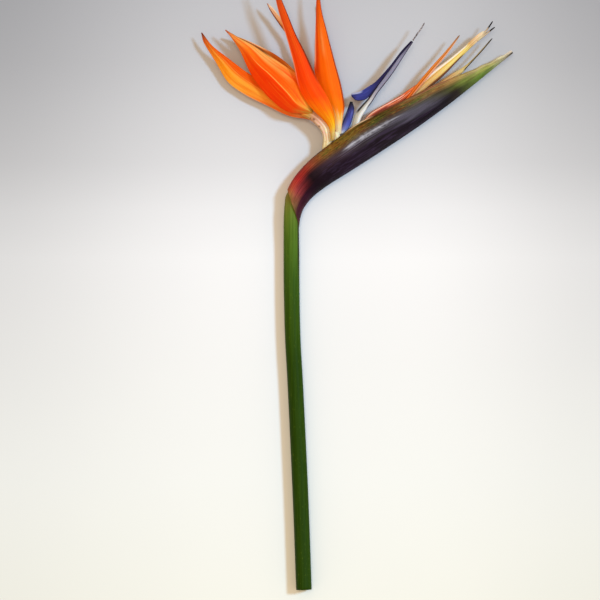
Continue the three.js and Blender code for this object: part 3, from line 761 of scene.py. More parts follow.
def paint_spathe():
    """Red at the elbow, olive along the lips, purple-black below, and green towards the beak."""
    paint = Paint("spathe_skin")
    cloud = paint.noise((5, 14, 1), 4)
    streaks = paint.noise((16, 3, 1), 4)
    fine = paint.noise((60, 5, 1), 3)
    patches = paint.noise((16, 22, 1), 3)
    ragged = paint.scaled(paint.calc("SUBTRACT", streaks, 0.5), 0.16, paint.across)
    colour = spathe_ground(paint, ragged)
    colour = spathe_mottle(paint, colour, ragged, patches)
    colour = spathe_lips(paint, colour, streaks)
    colour = paint.shade(colour, (0.74, 0.7, 0.7), paint.step(cloud, 0.6, 0.4))
    colour = paint.shade(colour, (0.55, 0.5, 0.5), paint.step(fine, 0.5, 0.36))
    # Painted highlight: the gloss streak on the side, partly waxy bloom.
    colour = spathe_wax_and_painted_gloss(paint, colour, patches, fine)
    paint.relief((paint.lines(46, 1.2), 0.05), (fine, 0.12), (streaks, 0.25), (cloud, 0.12))
    return paint.finish(colour, paint.scaled(streaks, 0.2, 0.3), Specular_IOR_Level=0.06)


def paint_claw(name, stops, flushed):
    """A floret's stalk: its colours along it, and a share of pink flush and brown flecks."""
    paint = Paint(name)
    flush = paint.noise((4, 3, 1), 3)
    pink = paint.step(flush, 0.42, 0.62)
    colour = paint.ramp(stops)
    colour = paint.patch(colour, (0.88, 0.42, 0.36), pink, 0.8 * flushed, along=(0.3, 0.7, 0.08))
    colour = paint.patches(colour, [((0.6, 0.5, 0.3), 0.6, (0.16, 0.08), (0.1, 0.6, 0.1))])
    colour = paint.patches(colour, [
        (
            (0.2, 0.05, 0.025), 0.85 * flushed,
            (side - 0.03, side + 0.03, 0.03), (place - size, place + size, 0.012),
        )
        for place, side, size in ((0.5, 0.11, 0.014), (0.64, 0.16, 0.02), (0.7, 0.13, 0.012))
    ])
    flecks = paint.grains(0.66, 0.72, (9, 13, 1), 1)
    colour = paint.patch(colour, (0.3, 0.12, 0.05), flecks, 0.6 * flushed)
    paint.relief((paint.lines(9, 0.4), 0.22), (flush, 0.2))
    return paint.finish(colour, 0.45, **PETAL_SHINE)


def paint_sepal_lower():
    """Golden orange, redder along its lower edge, and redder along its upper half as painted shade."""
    paint = Paint("sepal_lower_skin")
    body = paint.ramp([
        (0.0, (0.5, 0.24, 0.06)), (0.05, (0.85, 0.3, 0.09)), (0.12, (1.0, 0.24, 0.04)),
        (0.22, (1.0, 0.25, 0.02)), (0.36, (1.0, 0.34, 0.03)), (0.52, (1.0, 0.37, 0.03)),
        (0.66, (1.0, 0.3, 0.006)), (0.8, (0.86, 0.2, 0.01)), (0.9, (0.6, 0.1, 0.02)),
        (0.97, (0.1, 0.02, 0.02)),
    ])
    colour = paint.patches(body, [
        # Painted shade: the redder upper half.
        ((0.84, 0.09, 0.0), 1, (0.46, 0.74), (0.32, 0.84, 0.1)),
        ((0.86, 0.1, 0.015), 0.7, (0.3, 0.08), (0.5, 0.25)),
        ((0.9, 0.45, 0.3), 0.7, (0.05, 0.02), (0.6, 0.3)),
    ])
    red = paint.grains(0.5, 0.6, (16, 2.5, 1))
    colour = paint.patch(colour, (0.75, 0.05, 0.01), red, 0.7, along=(0.3, 0.12))
    return finish_petal(paint, colour, (0.93, 0.15, 0.0), (1.0, 0.45, 0.08), 0.5)


def paint_sepal_keeled():
    """The folded sepal: red below its keel as painted shade, orange above it as painted light, with a
    painted highlight on the keel, a pale painted band of light, and a thin dark line along the far
    edge."""
    paint = Paint("sepal_keeled_skin")
    # Painted shade below the keel and light above it: the lower face is the shaded one, the upper the
    # lit one.
    lower = paint.ramp([
        (0.0, (0.55, 0.27, 0.03)), (0.07, (0.7, 0.2, 0.02)), (0.15, (0.9, 0.075, 0.002)),
        (0.3, (0.92, 0.045, 0.0)), (0.55, (0.93, 0.055, 0.0)), (0.66, (0.94, 0.1, 0.001)),
        (0.76, (0.96, 0.22, 0.02)), (0.86, (0.97, 0.28, 0.045)), (0.95, (0.45, 0.17, 0.07)),
    ])
    upper = paint.ramp([
        (0.0, (0.5, 0.36, 0.06)), (0.08, (0.85, 0.34, 0.04)), (0.2, (0.96, 0.17, 0.004)),
        (0.4, (0.93, 0.09, 0.0)), (0.6, (0.93, 0.09, 0.001)), (0.7, (0.94, 0.16, 0.005)),
        (0.78, (0.95, 0.3, 0.04)), (0.88, (0.93, 0.33, 0.06)), (0.96, (0.45, 0.16, 0.07)),
    ])
    fold = paint.ramp([(0.0, 0.47), (0.5, 0.46), (0.66, 0.38), (0.8, 0.24), (0.95, 0.1)])
    off = paint.calc("SUBTRACT", paint.across, fold)
    # Painted highlight along the keel.
    ridge = paint.band(off, -0.004, 0.014, 0.016)
    colour = paint.mix(lower, upper, paint.step(off, -0.02, 0.02))
    colour = paint.patch(colour, (1.0, 0.42, 0.08), ridge, along=(0.14, 0.64, 0.06))
    fine = paint.scaled(paint.grains(0.42, 0.56, (24, 1.2, 1)), 0.5, 0.5)
    # Painted light on the upturned far wing: a pale band.
    painted_light_band = paint.mix((0.88, 0.26, 0.04), (0.9, 0.42, 0.1), paint.step(paint.along, 0.45, 0.65))
    colour = paint.patches(colour, [
        (painted_light_band, fine, (0.62, 0.76), (0.36, 0.9, 0.08)),
        ((0.6, 0.16, 0.02), 0.6, (0.78, 0.8, 0.014), (0.45, 0.72, 0.06)),
    ])
    edge = [((0.14, 0.03, 0.006), 0.9, (0.925, 0.955), (0.6, 0.93, 0.06))]
    return finish_petal(paint, colour, (0.86, 0.032, 0.0), (1.0, 0.22, 0.012), 0.55, 0.4, edge)


def paint_sepal_back():
    """Shaded orange, with a dark far rim and a pale edge outside it."""
    paint = Paint("sepal_back_skin")
    body = paint.ramp([
        (0.0, (0.6, 0.2, 0.02)), (0.25, (0.66, 0.16, 0.012)), (0.45, (0.66, 0.14, 0.008)),
        (0.6, (0.62, 0.14, 0.018)), (0.8, (0.6, 0.2, 0.05)), (1.0, (0.3, 0.12, 0.06)),
    ])
    colour = paint.patches(body, [((0.1, 0.018, 0.006), 0.9, (0.74, 0.86, 0.05), (0.48, 0.6))])
    edge = [((0.95, 0.5, 0.24), 0.8, (0.9, 0.94), (0.5, 0.62))]
    return finish_petal(paint, colour, (0.45, 0.07, 0.005), (0.8, 0.3, 0.08), over=edge)


def paint_sepal_front():
    """Gold at its base, then deep orange-red, with a pale near edge and a dark far one."""
    paint = Paint("sepal_front_skin")
    body = paint.ramp([
        (0.0, (0.66, 0.5, 0.16)), (0.05, (0.82, 0.62, 0.18)), (0.11, (0.97, 0.58, 0.03)),
        (0.16, (0.98, 0.42, 0.006)), (0.25, (0.98, 0.19, 0.001)), (0.34, (0.98, 0.075, 0.0)),
        (0.5, (0.92, 0.05, 0.0)), (0.7, (0.78, 0.055, 0.001)), (0.85, (0.78, 0.09, 0.006)),
        (1.0, (0.35, 0.06, 0.03)),
    ])
    colour = paint.patches(body, [
        ((0.45, 0.03, 0.002), 0.7, (0.86, 0.92), (0.36, 0.5)),
        ((0.5, 0.36, 0.05), 0.8, (0.1, 0.34, 0.08), (0.1, 0.03)),
        ((0.95, 0.34, 0.18), 0.7, (0.09, 0.04), (0.4, 0.55)),
        ((0.98, 0.24, 0.002), 0.6, (0.45, 0.1), (0.1, 0.3, 0.08)),
    ])
    edge = [((0.1, 0.01, 0.002), 0.85, (0.92, 0.95), (0.38, 0.52))]
    return finish_petal(paint, colour, (0.76, 0.032, 0.0), (1.0, 0.17, 0.004), 0.5, over=edge)


def paint_sepal_right():
    """Cream and gold streaks at its base, then bright orange, with a red strip along the near edge and
    a painted highlight spot higher up.
    """
    paint = Paint("sepal_right_skin")
    body = paint.ramp([
        (0.0, (0.92, 0.82, 0.55)), (0.06, (0.95, 0.76, 0.4)), (0.12, (0.97, 0.5, 0.07)),
        (0.2, (0.96, 0.24, 0.004)), (0.35, (0.97, 0.14, 0.0)), (0.55, (0.96, 0.12, 0.0)),
        (0.75, (0.88, 0.13, 0.002)), (0.88, (0.8, 0.1, 0.005)), (1.0, (0.4, 0.07, 0.03)),
    ])
    colour = paint.patches(body, [
        ((0.75, 0.05, 0.001), 1, (0.28, 0.18), (0.36, 0.5)),
        ((0.28, 0.03, 0.003), 0.85, (0.92, 0.95), (0.12, 0.3)),
        ((0.95, 0.38, 0.2), 0.8, (0.1, 0.04), (0.45, 0.55)),
    ])
    gold = paint.grains(0.48, 0.62, (13, 2, 1))
    colour = paint.patch(colour, (0.98, 0.78, 0.3), gold, along=(0.26, 0.12))
    # Painted highlight: a pale spot on the face.
    colour = paint.patches(colour, [((0.9, 0.3, 0.08), 0.6, (0.45, 0.6, 0.1), (0.6, 0.74, 0.05))])
    return finish_petal(paint, colour, (0.93, 0.08, 0.0), (1.0, 0.22, 0.01), 0.35, 0.4)


def paint_sepal_left():
    """Mostly hidden: orange, paler towards its tip, with a dark near edge there."""
    paint = Paint("sepal_left_skin")
    body = paint.ramp([
        (0.0, (0.8, 0.4, 0.05)), (0.3, (0.9, 0.15, 0.003)), (0.68, (0.88, 0.26, 0.05)),
        (0.78, (0.93, 0.56, 0.27)), (0.92, (0.95, 0.74, 0.46)), (1.0, (0.5, 0.3, 0.2)),
    ])
    colour = paint.patches(body, [((0.13, 0.02, 0.008), 0.92, (0.34, 0.2), (0.6, 0.7))])
    return finish_petal(paint, colour, (0.75, 0.08, 0.005), (0.98, 0.35, 0.1))


def paint_vane():
    """The arrow's vane: royal blue on the lobe, with a pale outer corner and a dark inner edge."""
    paint = Paint("vane_skin")
    blue = paint.ramp([
        (0.0, (0.035, 0.04, 0.17)), (0.15, (0.042, 0.05, 0.26)), (0.35, (0.035, 0.04, 0.19)),
        (0.55, (0.024, 0.018, 0.07)), (1.0, (0.012, 0.008, 0.025)),
    ])
    colour = paint.patches(blue, [
        ((0.012, 0.008, 0.022), 1, (0.6, 0.9), (0.25, 0.45)),
        ((0.5, 0.52, 0.66), 0.85, (0.24, 0.2), (0.24, 0.16)),
        ((0.012, 0.012, 0.06), 1, (0.24, 0.27, 0.02), (0.24, 0.16)),
        ((0.012, 0.01, 0.05), 1, (0.9, 0.97), (0.5, 0.3)),
    ])
    veins = paint.lines(22)
    cloud = paint.noise((6, 5, 1), 3)
    bright = paint.step(cloud, 0.46, 0.66)
    colour = paint.shade(colour, (0.6, 0.55, 0.75), veins, 0.5)
    colour = paint.patch(colour, (0.07, 0.075, 0.4), bright, 0.5, along=(0.5, 0.2))
    paint.relief((veins, 0.05), (cloud, 0.2))
    return paint.finish(colour, 0.5, Specular_IOR_Level=0.1)


def paint_shaft():
    """The arrow's shaft: cream at its base, lilac-grey further up, dark along both edges, with a
    painted highlight and a painted shade band on its lower part.
    """
    paint = Paint("shaft_skin")
    face = paint.ramp([
        (0.0, (0.6, 0.52, 0.36)), (0.2, (0.66, 0.58, 0.44)), (0.36, (0.68, 0.62, 0.54)),
        (0.46, (0.6, 0.55, 0.5)), (0.56, (0.42, 0.38, 0.42)), (0.68, (0.27, 0.25, 0.34)),
        (0.88, (0.27, 0.25, 0.35)), (1.0, (0.06, 0.045, 0.08)),
    ])
    face = paint.patches(face, [
        # Painted highlight: a white streak near the shaft's top.
        ((0.9, 0.87, 0.84), 0.85, (0.29, 0.4, 0.05), (0.56, 0.42)),
        # Painted shade: a grey-olive band beside it.
        ((0.42, 0.37, 0.29), 0.7, (0.1, 0.25, 0.04), (0.56, 0.4)),
    ])
    over, under = paint.area(across=(0.2, 0.16)), paint.area(across=(0.9, 0.95))
    left = paint.calc("MAXIMUM", over, under)
    colour = paint.patch(face, (0.018, 0.012, 0.018), left, 0.97, along=(0.31, 0.66, 0.03))
    colour = paint.patches(colour, [((0.03, 0.022, 0.05), 0.9, (0.355, 0.58, 0.02), (0.38, 0.46))])
    lines = paint.lines(16, 0.3)
    colour = paint.shade(colour, (0.75, 0.7, 0.74), lines, 0.4)
    paint.relief((lines, 0.1))
    glow = {"Subsurface_Weight": 0.1, "Subsurface_Scale": MM}
    return paint.finish(colour, 0.42, Specular_IOR_Level=0.25, **glow)


def paint_hood():
    """The hood: almost black at its tip, deep blue, then periwinkle and white at its base."""
    paint = Paint("hood_skin")
    body = paint.ramp([
        (0.0, (0.85, 0.84, 0.82)), (0.06, (0.6, 0.62, 0.75)), (0.14, (0.24, 0.28, 0.6)),
        (0.3, (0.09, 0.11, 0.44)), (0.5, (0.045, 0.05, 0.27)), (0.7, (0.03, 0.025, 0.15)),
        (0.86, (0.02, 0.014, 0.04)), (0.97, (0.004, 0.003, 0.006)),
    ])
    rim = paint.calc("MAXIMUM", paint.area(across=(0.12, 0.04)), paint.area(across=(0.88, 0.96)))
    colour = paint.patch(body, (0.015, 0.01, 0.03), rim, 0.8, along=(0.15, 0.4))
    streaks = paint.grains(0.5, 0.68, (12, 2.5, 1))
    colour = paint.patch(colour, (0.16, 0.18, 0.5), streaks, 0.55, along=(0.1, 0.72, 0.08))
    veins = paint.lines(14)
    colour = paint.shade(colour, (0.6, 0.6, 0.75), veins, 0.4)
    paint.relief((veins, 0.08))
    return paint.finish(colour, 0.45, Specular_IOR_Level=0.15)


def paint_style():
    """The style: dark, with grey rings."""
    paint = Paint("style_skin")
    rings = paint.grains(0.4, 0.6, (2, 12, 1))
    colour = paint.mix((0.05, 0.035, 0.045), (0.4, 0.34, 0.34), rings)
    paint.relief((paint.noise((6, 60, 1), 2), 0.1))
    return paint.finish(colour, 0.55)


def paint_bud(name, face, bands, tip, tip_start):
    """A furled bud: colours along its face, bands over them, and its tip. A band has its two places
    across the bud, its two places along it, its colour and its share."""
    paint = Paint(name)
    rows = [
        (tone, share, (low, high, 0.015), (start, end, 0.03))
        for low, high, start, end, tone, share in bands
    ]
    colour = paint.patches(paint.ramp(face), rows)
    colour = paint.patch(colour, tip, along=(tip_start, min(tip_start + 0.12, 1.0)))
    streaks = paint.noise((14, 3, 1), 3)
    colour = paint.shade(colour, (0.7, 0.5, 0.36), paint.step(streaks, 0.55, 0.35), 0.5)
    paint.relief((paint.lines(18, 0.6), 0.06), (streaks, 0.15))
    return paint.finish(colour, 0.42, **PETAL_SHINE)


def build_stem():
    """The stem's skin with soft ridges, and its cut end, hollowed a little."""
    sides = 64

    def ridges(angle, t):
        shallow = 0.012 * np.cos(9 * angle + 1.2 * np.sin(5 * t)) + 0.006 * np.cos(17 * angle + 2)
        return 1 + shallow + 0.01 * np.sin(23 * t + 2 * angle)

    skin = rod(STEM_LINE, sides, rows=420, shape=ridges)
    ring = skin["points"][:sides]
    middle = ring.mean(0)
    shares = np.array([share for share, sunk in CUT_FACE_RINGS])[:, None, None]
    sunk = np.array([[0, sunk, 0] for share, sunk in CUT_FACE_RINGS])[:, None]
    rings = np.concatenate([middle + (ring - middle) * shares + sunk, ring[None]])
    face = loft(rings, np.linspace(0, 1, sides + 1)[None], np.append(shares, 1)[:, None], 1)
    piece("stem", [skin, face], [paint_stem(), paint_cut_face()])


def spathe_section(phi, half_height, half_depth, lip, sharp):
    """Places on the spathe's section, phi running from the lip (0) to the keel (pi)."""
    below = np.maximum(0, -np.cos(phi))
    tent = np.maximum(0, 1 - 2 * (math.pi - phi) / math.pi)
    drop = below + (tent - below) * sharp
    n = np.where(phi < math.pi / 2, np.cos(phi), -drop)
    z = (half_depth - lip / 2) * np.sin(phi) + lip * (1 + np.cos(phi)) / 2
    return n * half_height, z


def build_spathe():
    """The boat-shaped bract: a shell with an open C section, thinner at its collar and its lips."""
    rows, columns = 300, 44
    stations = np.array(SPATHE_STATIONS, float)
    axis = spline(stations[:, :3])
    sizes = spline(stations[:, 3:])
    t = np.linspace(0, 1, rows)[:, None]
    column = np.arange(-columns, columns + 1)[None, :]
    sign = np.sign(column)
    phi = math.pi * (1 - np.abs(column) / columns)
    to_slit = (1 + np.cos(phi)) / 2
    slant = COLLAR_SLANT_SPANS / (len(stations) - 1)
    s = t + slant * to_slit**COLLAR_SLANT_CURVE * (1 - t) ** COLLAR_SLANT_FADE
    height, depth, gap = np.moveaxis(sizes(s), -1, 0)
    wall = np.minimum(SPATHE_WALL, COLLAR_WALL + COLLAR_WALL_GROWTH * t * SPATHE_WALL)
    wall = np.minimum(wall, WALL_SHARE_OF_DEPTH * depth)
    wall = wall * (1 - LIP_THINNING * to_slit**3 * smooth_step(t, *LIP_THINNING_RANGE))
    sharp = KEEL_SHARPNESS * smooth_step(s, *KEEL_RANGE)
    waves = np.sin(70 * s) + 0.6 * np.sin(113 * s + 2 + sign)
    ripple = LIP_RIPPLE * to_slit**2 * waves * smooth_step(s, *LIP_RIPPLE_RANGE)
    out_n, out_z = spathe_section(phi, height / 2, depth / 2, gap / 2 + wall, sharp)
    in_n, in_z = spathe_section(phi, height / 2 - wall, depth / 2 - wall, gap / 2, sharp)
    side, rise = section_axes(axis, s)

    def place(n, z):
        return above_floor(axis(s) + side * n[..., None] + rise * (sign * z)[..., None])

    outer = place(out_n + ripple, out_z)
    inner = place(in_n + ripple + wall * to_slit**2 * LIP_ROUNDING, in_z)[:, ::-1]
    share = np.broadcast_to(phi / math.pi, s.shape)
    across = np.concatenate([share, -share[:, ::-1] - INNER_FACE_OFFSET, share[:, :1]], axis=1)
    along = np.concatenate([s, s[:, ::-1], s[:, :1]], axis=1)
    skin = loft(np.concatenate([outer, inner], axis=1), across, along)
    piece("spathe", [skin], [paint_spathe()])


def build_claws():
    """The florets' stalks, ribbed and swollen where the sepals stand on them."""
    looks = {
        # Both stalks darken towards their base, where it is painted shade inside the bract.
        "floret_1_claw": paint_claw("claw_skin", [
            (0.0, (0.4, 0.28, 0.09)), (0.18, (0.85, 0.66, 0.34)), (0.38, (0.95, 0.78, 0.5)),
            (0.54, (0.84, 0.5, 0.36)), (0.66, (0.6, 0.3, 0.16)), (0.76, (0.58, 0.32, 0.08)),
            (0.86, (0.8, 0.3, 0.04)), (1.0, (0.85, 0.2, 0.02)),
        ], flushed=1.0),
        "floret_2_claw": paint_claw("claw_pale_skin", [
            (0.0, (0.7, 0.52, 0.2)), (0.3, (0.88, 0.72, 0.38)), (0.6, (0.95, 0.82, 0.55)),
            (1.0, (0.95, 0.78, 0.45)),
        ], flushed=0.0),
    }

    def ribs(angle, t):
        swell = 1 + 0.08 * smooth_step(t, 0.8, 0.96)
        return swell * rounded_end(t, 0.05) * (1 + 0.035 * np.cos(7 * angle + 2 * np.sin(4 * t)))

    for name, line in CLAWS.items():
        before, last = np.array(line[-2:], float)
        longer = last + CLAW_ROOT_IN_SEPALS * (last - before)
        skin = rod([*line, longer.tolist()], sides=48, rows=120, shape=ribs)
        piece(name, [skin], [looks[name]])


def build_sepals():
    """The orange sepals, each with its own waves. One is folded along a keel."""
    def waves(phase):
        def relief(u, t):
            edge = np.abs(2 * u - 1) ** 3
            ripple = np.sin(17 * t + phase) + 0.5 * np.sin(37 * t + 2 * phase)
            folds = 0.14 * np.sin(6 * math.pi * u + phase) * np.sin(math.pi * u)
            return (0.25 * edge * ripple + folds) * smooth_step(t, 0.1, 0.3) * smooth_step(t, 1, 0.8)

        return relief

    def keeled(u, t):
        fold = 0.47 - 0.34 * smooth_step(t, 0.5, 1)
        rise = np.where(u < fold, u / fold, (1 - u) / (1 - fold))
        crisp = 1 - (1 - rise) ** 1.25
        flare = 0.03 * smooth_step(u, 0.7, 0.95) * smooth_step(t, 0.35, 0.5)
        return SEPALS["floret_1_sepal_front"]["keel"] * crisp + flare

    # Material, slot, phase of the waves, profile
    looks = {
        "floret_1_sepal_lower": (paint_sepal_lower(), "sepal_orange", 0.3, None),
        "floret_1_sepal_front": (paint_sepal_keeled(), "sepal_red", 1.1, keeled),
        "floret_1_sepal_back": (paint_sepal_back(), "sepal_shaded", 2.0, None),
        "floret_2_sepal_front": (paint_sepal_front(), "sepal_red", 2.9, None),
        "floret_2_sepal_right": (paint_sepal_right(), "sepal_orange", 3.7, None),
        "floret_2_sepal_left": (paint_sepal_left(), "sepal_orange", 4.4, None),
    }
    for name, (material, slot, phase, profile) in looks.items():
        start = SEPAL_STARTS.get(name, SEPAL_START)
        skin = blade(
            SEPALS[name], *SEPAL_THICKNESS, rows=140, columns=24,
            start=start, profile=profile, relief=waves(phase),
        )
        piece(name, [skin], [material])


def arrow_parts():
    """The arrow's shaft and its two vanes."""
    def groove(angle, t):
        return 1 - 0.12 * np.exp(-(((angle - math.pi / 2) / 0.35) ** 2))

    parts = [rod(ARROW_SHAFT, sides=40, rows=120, depth=ARROW_SHAFT_DEPTH, shape=groove, slot=1)]
    for sign in (1, -1):
        def edge(points, share):
            rows = zip(points, VANE_HEIGHT, VANE_FLARE)
            return [[x, y, height + share * flare] for (x, y), height, flare in rows]

        def cupped(u, t, lift=sign * 0.05):
            return lift * (1 - (2 * u - 1) ** 2)

        shape = {"left": edge(VANE_LEFT, sign), "right": edge(VANE_RIGHT, sign * VANE_INNER_SHARE)}
        parts.append(blade(shape, *VANE_THICKNESS, rows=110, columns=18, profile=cupped))
    return parts


def style_part():
    """The style, a little knobbed, with a rounded end."""
    def knobs(angle, t):
        return rounded_end(t, 0.1) * (1 + 0.12 * np.sin(21 * t) + 0.1 * np.cos(3 * angle))

    return rod(STYLE_LINE, sides=20, rows=60, shape=knobs)


def hood_part():
    """The hood, a small boat with its edges rolled up."""
    def boat(u, t):
        return HOOD["keel"] * fullness(u) - 0.12 * np.abs(2 * u - 1) ** 6

    return blade(HOOD, *HOOD_THICKNESS, rows=80, columns=20, profile=boat)


def build_blue_petals():
    """Arrow, style and hood of both florets."""
    blues, grey, hood_blue = [paint_vane(), paint_shaft()], [paint_style()], [paint_hood()]
    arrow, style, hood = arrow_parts(), style_part(), hood_part()
    piece("floret_2_arrow", arrow, blues)
    piece("floret_2_style", [style], grey)
    piece("floret_2_hood", [hood], hood_blue)
    first = [turned(part, FIRST_ARROW_TURN) for part in arrow]
    piece("floret_1_arrow", first, blues)
    piece("floret_1_style", [turned(style, FIRST_ARROW_TURN)], grey)
    piece("floret_1_hood", [turned(hood, FIRST_HOOD_TURN)], hood_blue)


def build_buds():
    """The furled tips of the florets still in bud, each with a seam where it overlaps itself."""
    def furled(seam, step=0.14, end=0.03):
        def shape(angle, t):
            turn = ((angle - seam - 0.6 * t) / (2 * math.pi)) % 1
            return rounded_end(t, end) * (1 - step / 2 + step * turn)

        return shape

    red = paint_bud("bud_red_skin", [
        (0.0, (0.6, 0.16, 0.08)), (0.43, (0.7, 0.16, 0.09)), (0.57, (0.85, 0.22, 0.1)),
        (0.75, (0.88, 0.15, 0.04)), (1.0, (0.85, 0.25, 0.08)),
    ], [
        (-0.05, 0.1, BASE, TIP, (0.3, 0.06, 0.03), 0.85),
        # Painted highlight along the bud's top.
        (0.125, 0.185, BASE, 0.5, (1.0, 0.6, 0.42), 0.9),
        # Painted shade: the crimson band on the bud's lower side.
        (0.235, 0.6, 0.1, 0.5, (0.3, 0.04, 0.025), 0.85),
        # Painted highlight.
        (0.15, 0.2, 0.5, 0.78, (1.0, 0.66, 0.55), 0.85),
        (0.22, 0.24, 0.56, 0.9, (0.16, 0.01, 0.004), 0.9),
        # Painted highlight.
        (0.27, 0.3, 0.66, 0.88, (1.0, 0.66, 0.46), 0.85),
        (0.33, 0.35, 0.5, 0.9, (0.2, 0.015, 0.006), 0.85),
        # Painted shade along the bud's lower side and underside.
        (0.4, 1.05, BASE, TIP, (0.4, 0.1, 0.05), 0.6),
    ], tip=(0.85, 0.25, 0.08), tip_start=0.93)
    orange = paint_bud("bud_orange_skin", [
        (0.0, (0.85, 0.16, 0.03)), (0.33, (0.9, 0.14, 0.02)), (0.6, (0.85, 0.24, 0.03)),
        (0.83, (0.8, 0.3, 0.07)), (1.0, (0.5, 0.26, 0.12)),
    ], [
        (0.222, 0.275, 0.36, TIP, (0.3, 0.06, 0.004), 0.85),
        (0.31, 0.56, 0.4, TIP, (0.95, 0.42, 0.24), 0.85),
    ], tip=(0.3, 0.16, 0.08), tip_start=0.92)
    cream = paint_bud("bud_cream_skin", [
        (0.0, (0.5, 0.2, 0.07)), (0.24, (0.55, 0.25, 0.09)), (0.36, (0.72, 0.4, 0.14)),
        (0.5, (0.8, 0.5, 0.15)), (0.62, (0.84, 0.64, 0.17)), (0.74, (0.84, 0.64, 0.18)),
        (0.8, (0.74, 0.46, 0.2)), (0.9, (0.85, 0.62, 0.38)), (1.0, (0.88, 0.7, 0.5)),
    ], [
        # Painted highlight along the upper edge.
        (-0.05, 0.165, 0.24, 0.76, (1.0, 0.9, 0.76), 0.95),
        (0.19, 0.2, 0.24, 0.7, (0.6, 0.22, 0.04), 0.55),
        (0.27, 0.29, 0.24, 0.7, (0.95, 0.78, 0.4), 0.5),
        # Painted shade along the lower edge's underside.
        (0.35, 0.6, 0.3, 0.7, (0.16, 0.045, 0.02), 0.95),
        (0.38, 0.6, 0.72, 0.82, (0.4, 0.28, 0.05), 0.7),
    ], tip=(0.88, 0.7, 0.5), tip_start=0.97)
    fork = paint_bud("bud_fork_skin", [
        (0.0, (0.8, 0.62, 0.34)), (0.5, (0.6, 0.45, 0.3)), (1.0, (0.2, 0.14, 0.12)),
    ], [
        (-0.05, 0.1, BASE, TIP, (0.85, 0.68, 0.5), 0.8), (0.4, 0.6, BASE, TIP, (0.4, 0.2, 0.12), 0.8),
    ], tip=(0.02, 0.015, 0.015), tip_start=0.62)
    olive = paint_bud("bud_olive_skin", [
        (0.0, (0.4, 0.22, 0.08)), (0.33, (0.5, 0.28, 0.12)), (0.45, (0.6, 0.37, 0.15)),
        (0.56, (0.7, 0.5, 0.19)), (0.66, (0.58, 0.44, 0.17)), (0.74, (0.2, 0.15, 0.07)),
        (1.0, (0.1, 0.08, 0.06)),
    ], [
        (0.29, 0.6, 0.6, TIP, (0.07, 0.045, 0.03), 0.92),
        (-0.05, 0.19, 0.5, 0.92, (0.62, 0.5, 0.24), 0.75),
    ], tip=(0.05, 0.045, 0.04), tip_start=0.95)
    first = rod(BUD_1, sides=40, rows=90, shape=furled(seam=1.2, step=0.2))
    second = rod(BUD_2, sides=32, rows=130, shape=furled(seam=1.9))
    third = rod(BUD_3, sides=48, rows=150, depth=BUD_3_DEPTH, shape=furled(seam=1.4, step=0.16))
    tip = furled(seam=2.0, step=0.1, end=0.1)
    forks = [rod(line, sides=24, rows=50, shape=tip, slot=1) for line in BUD_3_FORKS]
    fourth = rod(BUD_4, sides=28, rows=140, shape=furled(seam=1.7))
    piece("bud_1", [first], [red])
    piece("bud_2", [second], [orange])
    piece("bud_3", [third, *forks], [cream, fork])
    piece("bud_4", [fourth], [olive])


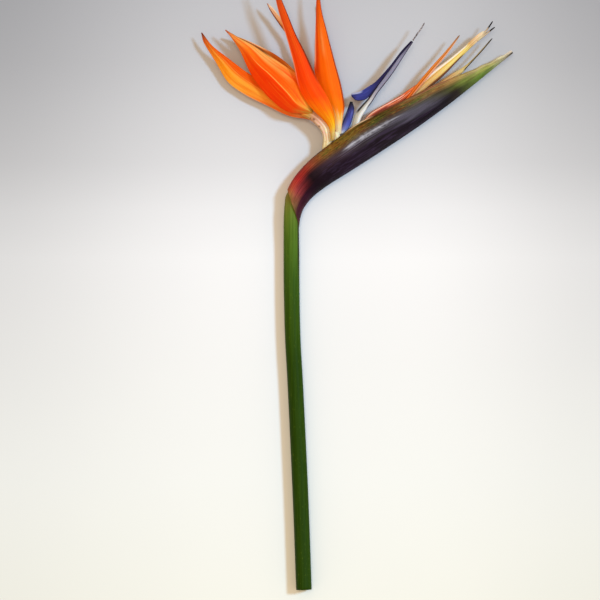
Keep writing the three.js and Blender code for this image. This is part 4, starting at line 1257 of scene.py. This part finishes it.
def build_floor():
    """A plain pale floor with painted light and shade: a little greyer towards the picture's top and
    both sides.
    """
    corners = [(-1, -1), (1, -1), (1, 1), (-1, 1)]
    mesh = bpy.data.meshes.new("floor")
    points = [(x * FLOOR_REACH, y * FLOOR_REACH, -FLOOR_DROP * MM) for x, y in corners]
    mesh.from_pydata(points, [], [(0, 1, 2, 3)])
    floor = placed("floor", mesh)
    paint = Paint("floor_paint")
    own = paint.own_place()
    place = paint.node("ShaderNodeSeparateXYZ", {0: own}).outputs
    middle, reach = to_frame([0, 0, 0]), PICTURE_WIDTH / 2 * MM
    limits = {"Value": place[1], "From Min": middle[1] - reach, "From Max": middle[1] + 3 * reach}
    up = paint.node("ShaderNodeMapRange", limits).outputs[0]
    # Painted light and shade: brightest near the flower, greyer towards the picture's top.
    level = paint.ramp([
        (0.0, 0.98), (0.2, 0.98), (0.285, 1.0), (0.325, 0.93), (0.365, 0.8), (0.41, 0.72), (0.45, 0.64),
        (0.5, 0.57), (0.58, 0.6), (1.0, 0.85),
    ], up)
    tone = paint.ramp([
        (0.0, (0.853, 0.82, 0.74)), (0.1, (0.862, 0.835, 0.79)), (0.25, (0.86, 0.825, 0.812)),
        (0.35, (0.87, 0.835, 0.84)), (0.5, (0.884, 0.853, 0.885)), (1.0, (0.87, 0.85, 0.84)),
    ], up)

    # Painted shade towards each side.
    def painted_side_shade(start, end, low_share, high_share):
        near, far = middle[0] + start * MM, middle[0] + end * MM
        share = paint.scaled(paint.step(up, 0.05, 0.45), high_share - low_share, low_share)
        share = paint.share(share, paint.step(up, 1.0, 0.55), paint.step(place[0], near, far))
        return paint.calc("SUBTRACT", 1.0, share)

    level = paint.share(level, *[painted_side_shade(*strip) for strip in FLOOR_SHADED_SIDES])
    tone = paint.shade(tone, (0.97, 0.975, 0.98), paint.noise((9, 9, 9), 2, own))
    colour = paint.mix((0, 0, 0), tone, level)
    mesh.materials.append(paint.finish(colour, 0.9, Specular_IOR_Level=0.1))


def build_camera():
    """Straight down on the flower, with the photograph's framing."""
    data = bpy.data.cameras.new("camera")
    camera = placed("camera", data)
    data.sensor_width = SENSOR
    data.lens = SENSOR * CAMERA_HEIGHT / PICTURE_WIDTH
    data.clip_end = FARTHEST_SEEN
    camera.location = to_frame([0, 0, FLOWER_HEIGHT + CAMERA_HEIGHT])
    bpy.context.scene.camera = camera


def sun_lamp(name, toward, angle, energy, colour):
    """A distant lamp that shines from a direction of the drawing."""
    data = bpy.data.lights.new(name, "SUN")
    data.energy, data.color, data.angle = energy, colour, math.radians(angle)
    placed(name, data).rotation_euler = Vector(toward).to_track_quat("Z", "Y").to_euler()


def build_light():
    """A cool, soft key light from the right, one overhead, and a warm, even fill. The backdrop
    beyond the floor's edge is paler than the fill and lights nothing."""
    for lamp in LAMPS:
        sun_lamp(*lamp)
    world = bpy.data.worlds.new("room")
    bpy.context.scene.world = world
    world.use_nodes = True
    tree = world.node_tree
    fill = tree.nodes["Background"]
    backdrop = tree.nodes.new("ShaderNodeBackground")
    for node, colour, strength in ((fill, FILL_COLOUR, FILL_STRENGTH), (backdrop, BACKDROP_COLOUR, 1)):
        node.inputs[0].default_value = (*colour, 1)
        node.inputs[1].default_value = strength
    path = tree.nodes.new("ShaderNodeLightPath")
    either = tree.nodes.new("ShaderNodeMixShader")
    tree.links.new(path.outputs["Is Camera Ray"], either.inputs[0])
    tree.links.new(fill.outputs[0], either.inputs[1])
    tree.links.new(backdrop.outputs[0], either.inputs[2])
    tree.links.new(either.outputs[0], tree.nodes["World Output"].inputs[0])


build_stem()
build_spathe()
build_claws()
build_sepals()
build_blue_petals()
build_buds()
build_floor()
build_camera()
build_light()
bpy.context.scene.view_settings.view_transform = "Standard"
